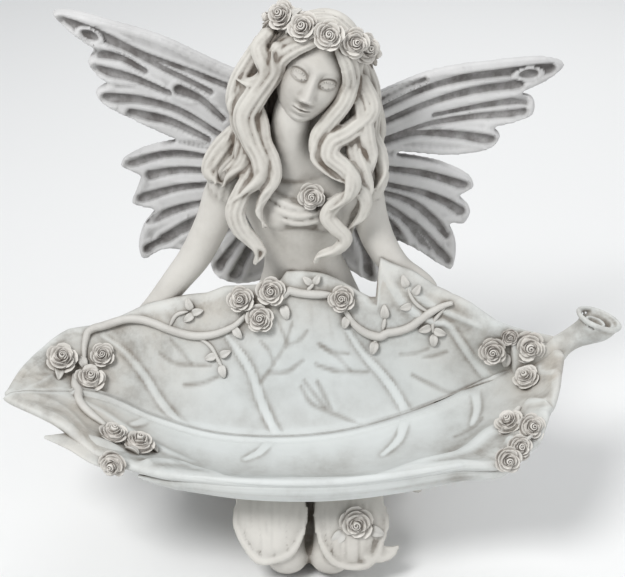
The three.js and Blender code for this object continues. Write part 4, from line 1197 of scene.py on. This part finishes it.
def buildSkirt():
    parts = []
    thigh, shin, shift = skirt["thigh"], skirt["shin"], skirt["kneeShift"]
    for hand in (-1, 1):
        route = [(hand * 17, 10, 34), (hand * 17, -16, 31), (hand * 13.5 + shift, -46, 22),
                 (hand * 10.6 + shift, -69, 12)]
        sweep(parts, route, thigh["widths"], thigh["depths"], face=(0, 0, 1), around=40, along=50)
        route = [(hand * 11 + shift, -62, 9), (hand * 18, 10, 12), (hand * 19, 62, 11), (hand * 16, 79, 7)]
        sweep(parts, route, shin["widths"], shin["depths"], face=(0, 0, 1), around=32, along=50)
    bell, tip = skirt["bell"], skirt["tip"]
    sweep(parts, bell["route"], bell["widths"], bell["depths"], around=112, along=60, strands=28, groove=0.05,
          ends=(0.3, 0.0))
    for petal in skirt["petals"]:
        addPetal(parts, *petal)
    sweep(parts, tip["route"], tip["widths"], tip["depths"], face=(0.2, -0.7, 0.7),
          around=20, along=30, cup=-0.2)
    mesh = melded(parts, "petal_skirt", skirt["voxel"], 1)
    clearDish(mesh)
    points, normals = readPoints(mesh)
    line = petalVeins(points, normals)
    writePoints(mesh, points - normals * (skirt["veinDepth"] * line)[:, None])
    finishedPiece("petal_skirt", mesh, resins["figure"], skirt["veinInk"] * line)


print("petal skirt")
buildSkirt()

# Roses, vines and leaves

rose = {
    "radius": 6.0,
    # rings of petals from the outside in, in shares of the radius; span and turn are angles
    "rings": [
        {"count": 5, "reach": 0.92, "low": -0.45, "high": 0.22, "span": 1.0, "turn": 0.0, "flare": 0.30},
        {"count": 4, "reach": 0.72, "low": -0.30, "high": 0.42, "span": 1.15, "turn": 0.5, "flare": 0.24},
        {"count": 3, "reach": 0.52, "low": -0.15, "high": 0.58, "span": 1.35, "turn": 1.1, "flare": 0.14},
        {"count": 3, "reach": 0.36, "low": -0.05, "high": 0.68, "span": 1.35, "turn": 0.2, "flare": 0.06},
    ],
    "petalThickness": 0.085,
    # on the dish: share of its length, of its breadth, size
    "dish": [
        (0.466, 0.94, 1.1), (0.513, 0.965, 1.2), (0.491, 0.84, 1.15), (0.628, 0.92, 1.1),
        (0.134, 0.68, 1.3), (0.212, 0.69, 1.0), (0.163, 0.29, 1.25), (0.190, -0.60, 1.1),
        (0.232, -0.58, 1.25), (0.88, 0.66, 1.15), (0.937, 0.74, 1.35), (0.912, -0.40, 1.1),
        (0.908, 0.90, 0.7), (0.825, -0.66, 1.15),
    ],
    "wreath": [
        (-12, 11, 267), (-2, 2, 264), (10, -2, 261), (22, 2, 256), (28, 9, 251),
        (31, 27, 243), (27, 40, 238), (11, 45, 244), (-8, 40, 252), (-17, 26, 260),
    ],
    "wreathCentre": (8, 22, 246),
    "wreathSize": 1.18,
    # on and below the front rim, and then at her breast and on the skirt: place, towards, size
    "hanging": [((-92, -80, 75.5), (-0.3, -1, 0.1), 1.1), ((95, -80.5, 78), (0.1, -1, 0.3), 1.05),
                ((101, -75.5, 81), (0.2, -0.8, 0.6), 1.0), ((108, -63, 84.5), (0.2, -0.8, 0.6), 1.1)],
    "single": [((2, 4.5, 177), (0, -1, 0.25), 1.1), ((24, -72.5, 35), (0, -1, 0.4), 1.35)],
}


def petalForm(parts, ring, k, radius, matrix, wobble):
    mesh, ball = ballOf(10, 8)
    u, v = ball[:, 0], (ball[:, 2] + 1) / 2
    angle = ring["turn"] + (k + 0.12 * wobble) / ring["count"] * math.tau + u * ring["span"]
    # the top edge is rounded and rolls outwards
    height = ring["low"] + (ring["high"] - ring["low"]) * v * (1 - 0.28 * u**2) + 0.05 * wobble
    reach = ring["reach"] * (0.34 + 0.66 * v**0.8)
    reach = reach + ring["flare"] * np.clip(v - 0.72, 0, 1) * 2.2 * (1 - 0.4 * u**2)
    reach = reach + ball[:, 1] * rose["petalThickness"] * (1 - 0.4 * v) + 0.03 * wobble - 0.07 * u
    places = np.stack([reach * np.cos(angle), reach * np.sin(angle), height], 1) * radius
    turned = np.array(matrix)
    shaped(parts, mesh, places @ turned[:3, :3].T + turned[:3, 3])


def roseForm(parts, place, towards, size, seed):
    rng = np.random.default_rng(seed)
    radius = rose["radius"] * size
    turn = Vector(towards).normalized().to_track_quat("Z", "Y").to_matrix().to_4x4()
    matrix = Matrix.Translation(place) @ turn @ Matrix.Rotation(rng.uniform(0, 6.2), 4, "Z")
    heart = (radius * 0.8, radius * 0.8, radius * 0.42)
    blob(parts, matrix @ Vector((0, 0, -0.05 * radius)), heart, turn, 16)
    for ring in rose["rings"]:
        for k in range(ring["count"]):
            petalForm(parts, ring, k, radius, matrix, rng.uniform(-1, 1))
    # the bud's rolled centre
    spiral = []
    for i in range(26):
        reach, angle = 0.26 - 0.009 * i, i * 0.42
        curl = Vector((reach * math.cos(angle), reach * math.sin(angle), 0.58 + 0.006 * i))
        spiral.append(matrix @ (curl * radius))
    sweep(parts, spiral, 0.06 * radius, 0.2 * radius, face=towards, around=8, along=44, capRows=2)
    bud = (radius * 0.26, radius * 0.26, radius * 0.34)
    blob(parts, matrix @ Vector((0, 0, 0.36 * radius)), bud, turn, 12)


def buildRoses():
    parts = []
    seed = 1
    for s, t, size in rose["dish"]:
        normal = dishNormal(s, t)
        towards = unit(normal + np.array([0, -0.35, 0.35]))
        roseForm(parts, Vector(onDish(s, t, 1.6) + towards * 0.6), towards, size, seed)
        seed += 1
    centre = np.array(rose["wreathCentre"], float)
    for place in rose["wreath"]:
        outward = unit(np.array(place, float) - centre)
        towards = unit(outward + (np.array([0, -0.8, 0.15]) if place[1] < 12 else 0))
        roseForm(parts, Vector(np.array(place) - outward * 0.6), towards, rose["wreathSize"], seed)
        seed += 1
    for place, towards, size in rose["single"] + rose["hanging"]:
        roseForm(parts, Vector(place), towards, size, seed)
        seed += 1
    finishedPiece("roses", joined(parts, "roses"), resins["roses"])


vines = {
    "radius": 2.2,
    "thin": 1.1,
    "ropes": [
        [(0.175, 0.62), (0.188, 0.82), (0.207, 0.96), (0.237, 0.97), (0.268, 0.96), (0.307, 0.89),
         (0.345, 0.81), (0.378, 0.77), (0.407, 0.77), (0.445, 0.80), (0.47, 0.86)],
        [(0.50, 0.95), (0.535, 0.93), (0.563, 0.91), (0.588, 0.91), (0.615, 0.92)],
        [(0.632, 0.86), (0.647, 0.80), (0.675, 0.76), (0.708, 0.77), (0.738, 0.80), (0.76, 0.85),
         (0.785, 0.91), (0.81, 0.96)],
        [(0.142, 0.39), (0.126, 0.10), (0.126, -0.20), (0.147, -0.38), (0.175, -0.46)],
        [(0.80, -0.66), (0.83, -0.62), (0.86, -0.62)],
    ],
    "branches": [
        [(0.340, 0.84), (0.355, 0.90), (0.375, 0.91)],
        [(0.380, 0.77), (0.403, 0.71), (0.412, 0.63), (0.417, 0.58)],
        [(0.57, 0.92), (0.582, 0.955)],
        [(0.77, 0.88), (0.748, 0.91), (0.738, 0.95)],
        [(0.797, 0.92), (0.777, 0.83), (0.775, 0.77)],
        [(0.693, 0.78), (0.698, 0.83)],
        [(0.682, 0.76), (0.677, 0.71)],
    ],
    # leaves: place, heading in degrees on the dish, length
    "leaves": [
        (0.38, 0.95, 100, 7), (0.375, 0.875, 210, 6.5), (0.392, 0.905, 10, 6.5), (0.401, 0.64, 200, 6.5),
        (0.427, 0.66, 20, 6.5), (0.417, 0.55, 275, 7), (0.115, 0.45, 240, 8), (0.453, 0.77, 300, 7),
        (0.532, 0.85, 280, 8), (0.572, 0.965, 140, 6), (0.588, 0.975, 60, 6), (0.63, 0.80, 250, 7),
        (0.698, 0.86, 90, 7.5), (0.674, 0.68, 250, 7.5), (0.733, 0.97, 110, 7), (0.752, 0.955, 60, 6.5),
        (0.733, 0.89, 200, 6.5), (0.762, 0.79, 200, 7), (0.787, 0.77, 340, 7), (0.775, 0.71, 265, 7),
        (0.18, -0.6, 250, 8), (0.255, -0.5, 330, 8), (0.90, 0.48, 260, 8), (0.17, 0.58, 270, 8),
        (0.955, 0.40, 300, 8), (0.80, -0.97, 200, 9), (0.225, -0.75, 340, 8),
    ],
    # on the skirt: place, the way it points, the way it looks, length
    "free": [((15, -75, 28), (-0.6, 0, -0.8), (0, -1, 0.3), 10),
             ((34, -72.5, 30), (0.8, 0, -0.4), (0, -1, 0.4), 9)],
}


def leafForm(parts, place, along, up, length):
    mesh, ball = ballOf(16, 12)
    forward = unit(np.asarray(along, float))
    side = unit(np.cross(forward, np.asarray(up, float)))
    top = np.cross(side, forward)
    u, w, v = ball[:, 0], ball[:, 1], ball[:, 2]
    half = 0.30 * length * (1 - 0.35 * v)
    # a pointed oval with a crease down its middle and lifted sides
    height = w * 0.13 * length + 0.16 * length * np.abs(u) - 0.10 * length * v**2
    places = np.asarray(place, float) + forward * (v * length / 2)[:, None]
    shaped(parts, mesh, places + side * (u * half)[:, None] + top * height[:, None])


def buildVines():
    parts = []
    for places in vines["ropes"]:
        dishRope(parts, places, vines["radius"], 0.7, around=14, spacing=1.1)
    for places in vines["branches"]:
        dishRope(parts, places, vines["thin"], 0.5, around=10, spacing=0.9)
    for s, t, heading, length in vines["leaves"]:
        along = dishAt(min(s + 0.01, 1), t) - dishAt(s, t)
        across = dishAt(s, min(t + 0.01, 1)) - dishAt(s, t - 0.01)
        angle = math.radians(heading)
        forward = unit(along) * math.cos(angle) + unit(across) * math.sin(angle)
        leafForm(parts, onDish(s, t, 1.2), forward, dishNormal(s, t), length)
    for place, along, up, length in vines["free"]:
        leafForm(parts, place, along, up, length)
    # leaves between the roses of the wreath, on a band of hair
    centre = Vector(rose["wreathCentre"])
    ring = [Vector(p) for p in rose["wreath"]]
    ring.append(ring[0])
    band = [p.lerp(centre, 0.2) for p in ring]
    sweep(parts, band, 4, 4, face=(0.3, 0, 1), around=16, along=120, capRows=2)
    for a, b in zip(ring[:-1], ring[1:]):
        middle = (a + b) / 2
        out = (middle - centre).normalized()
        across = (b - a).normalized()
        for hand in (-1, 1) if middle.y > 6 else ():
            up = Vector((0.35, 0, 0.94))
            leafForm(parts, middle + up * hand * 3.4 - out * 0.5, up * hand + across * 0.5 * hand, out, 8.5)
    finishedPiece("vines_and_leaves", joined(parts, "vines_and_leaves"), resins["vines"])


print("roses, vines and leaves")
buildRoses()
buildVines()

# Floor, light and camera

studio = {
    "target": (2.5, -20, 138),
    "elevation": 27,
    "distance": 700,
    "lens": 81.8,
    "floor": (0.86, 0.86, 0.855),
    "sky": (0.94, 0.97, 1.0),
    "skyStrength": 0.42,
    # lamps: place and size in metres, power in watts
    "lamps": {
        "key": ((-0.6, -0.75, 1.25), 0.55, 15),
        "fill": ((1.0, -0.6, 0.6), 0.8, 3.0),
        "back": ((0.35, 0.95, 1.1), 0.6, 6),
    },
}


def buildStudio():
    bm = bmesh.new()
    bmesh.ops.create_grid(bm, x_segments=1, y_segments=1, size=4)
    floor = linkedObject("floor", meshFrom(bm, "floor"))
    paper = bpy.data.materials.new("pale floor")
    paper.use_nodes = True
    shader = paper.node_tree.nodes["Principled BSDF"]
    shader.inputs["Base Color"].default_value = (*studio["floor"], 1)
    shader.inputs["Roughness"].default_value = 0.9
    floor.data.materials.append(paper)
    world = bpy.data.worlds.new("studio")
    world.use_nodes = True
    sky = world.node_tree.nodes["Background"]
    sky.inputs["Color"].default_value = (*studio["sky"], 1)
    sky.inputs["Strength"].default_value = studio["skyStrength"]
    bpy.context.scene.world = world
    bpy.context.scene.view_settings.view_transform = "Standard"
    for name, (place, size, power) in studio["lamps"].items():
        light = bpy.data.lights.new(name, "AREA")
        light.shape = "DISK"
        light.size = size
        light.energy = power
        lamp = linkedObject(name, light)
        lamp.location = place
        lamp.rotation_euler = (Vector((0, 0, 0.12)) - lamp.location).to_track_quat("-Z", "Y").to_euler()
    camera = bpy.data.cameras.new("camera")
    camera.lens = studio["lens"]
    camera.sensor_width = 36
    camera.dof.use_dof = False
    eye = linkedObject("camera", camera)
    angle = math.radians(studio["elevation"])
    target = Vector(studio["target"])
    eye.location = (target + Vector((0, -math.cos(angle), math.sin(angle))) * studio["distance"]) * metres
    eye.rotation_euler = (math.radians(90) - angle, 0, 0)
    bpy.context.scene.camera = eye


buildStudio()
print("done")
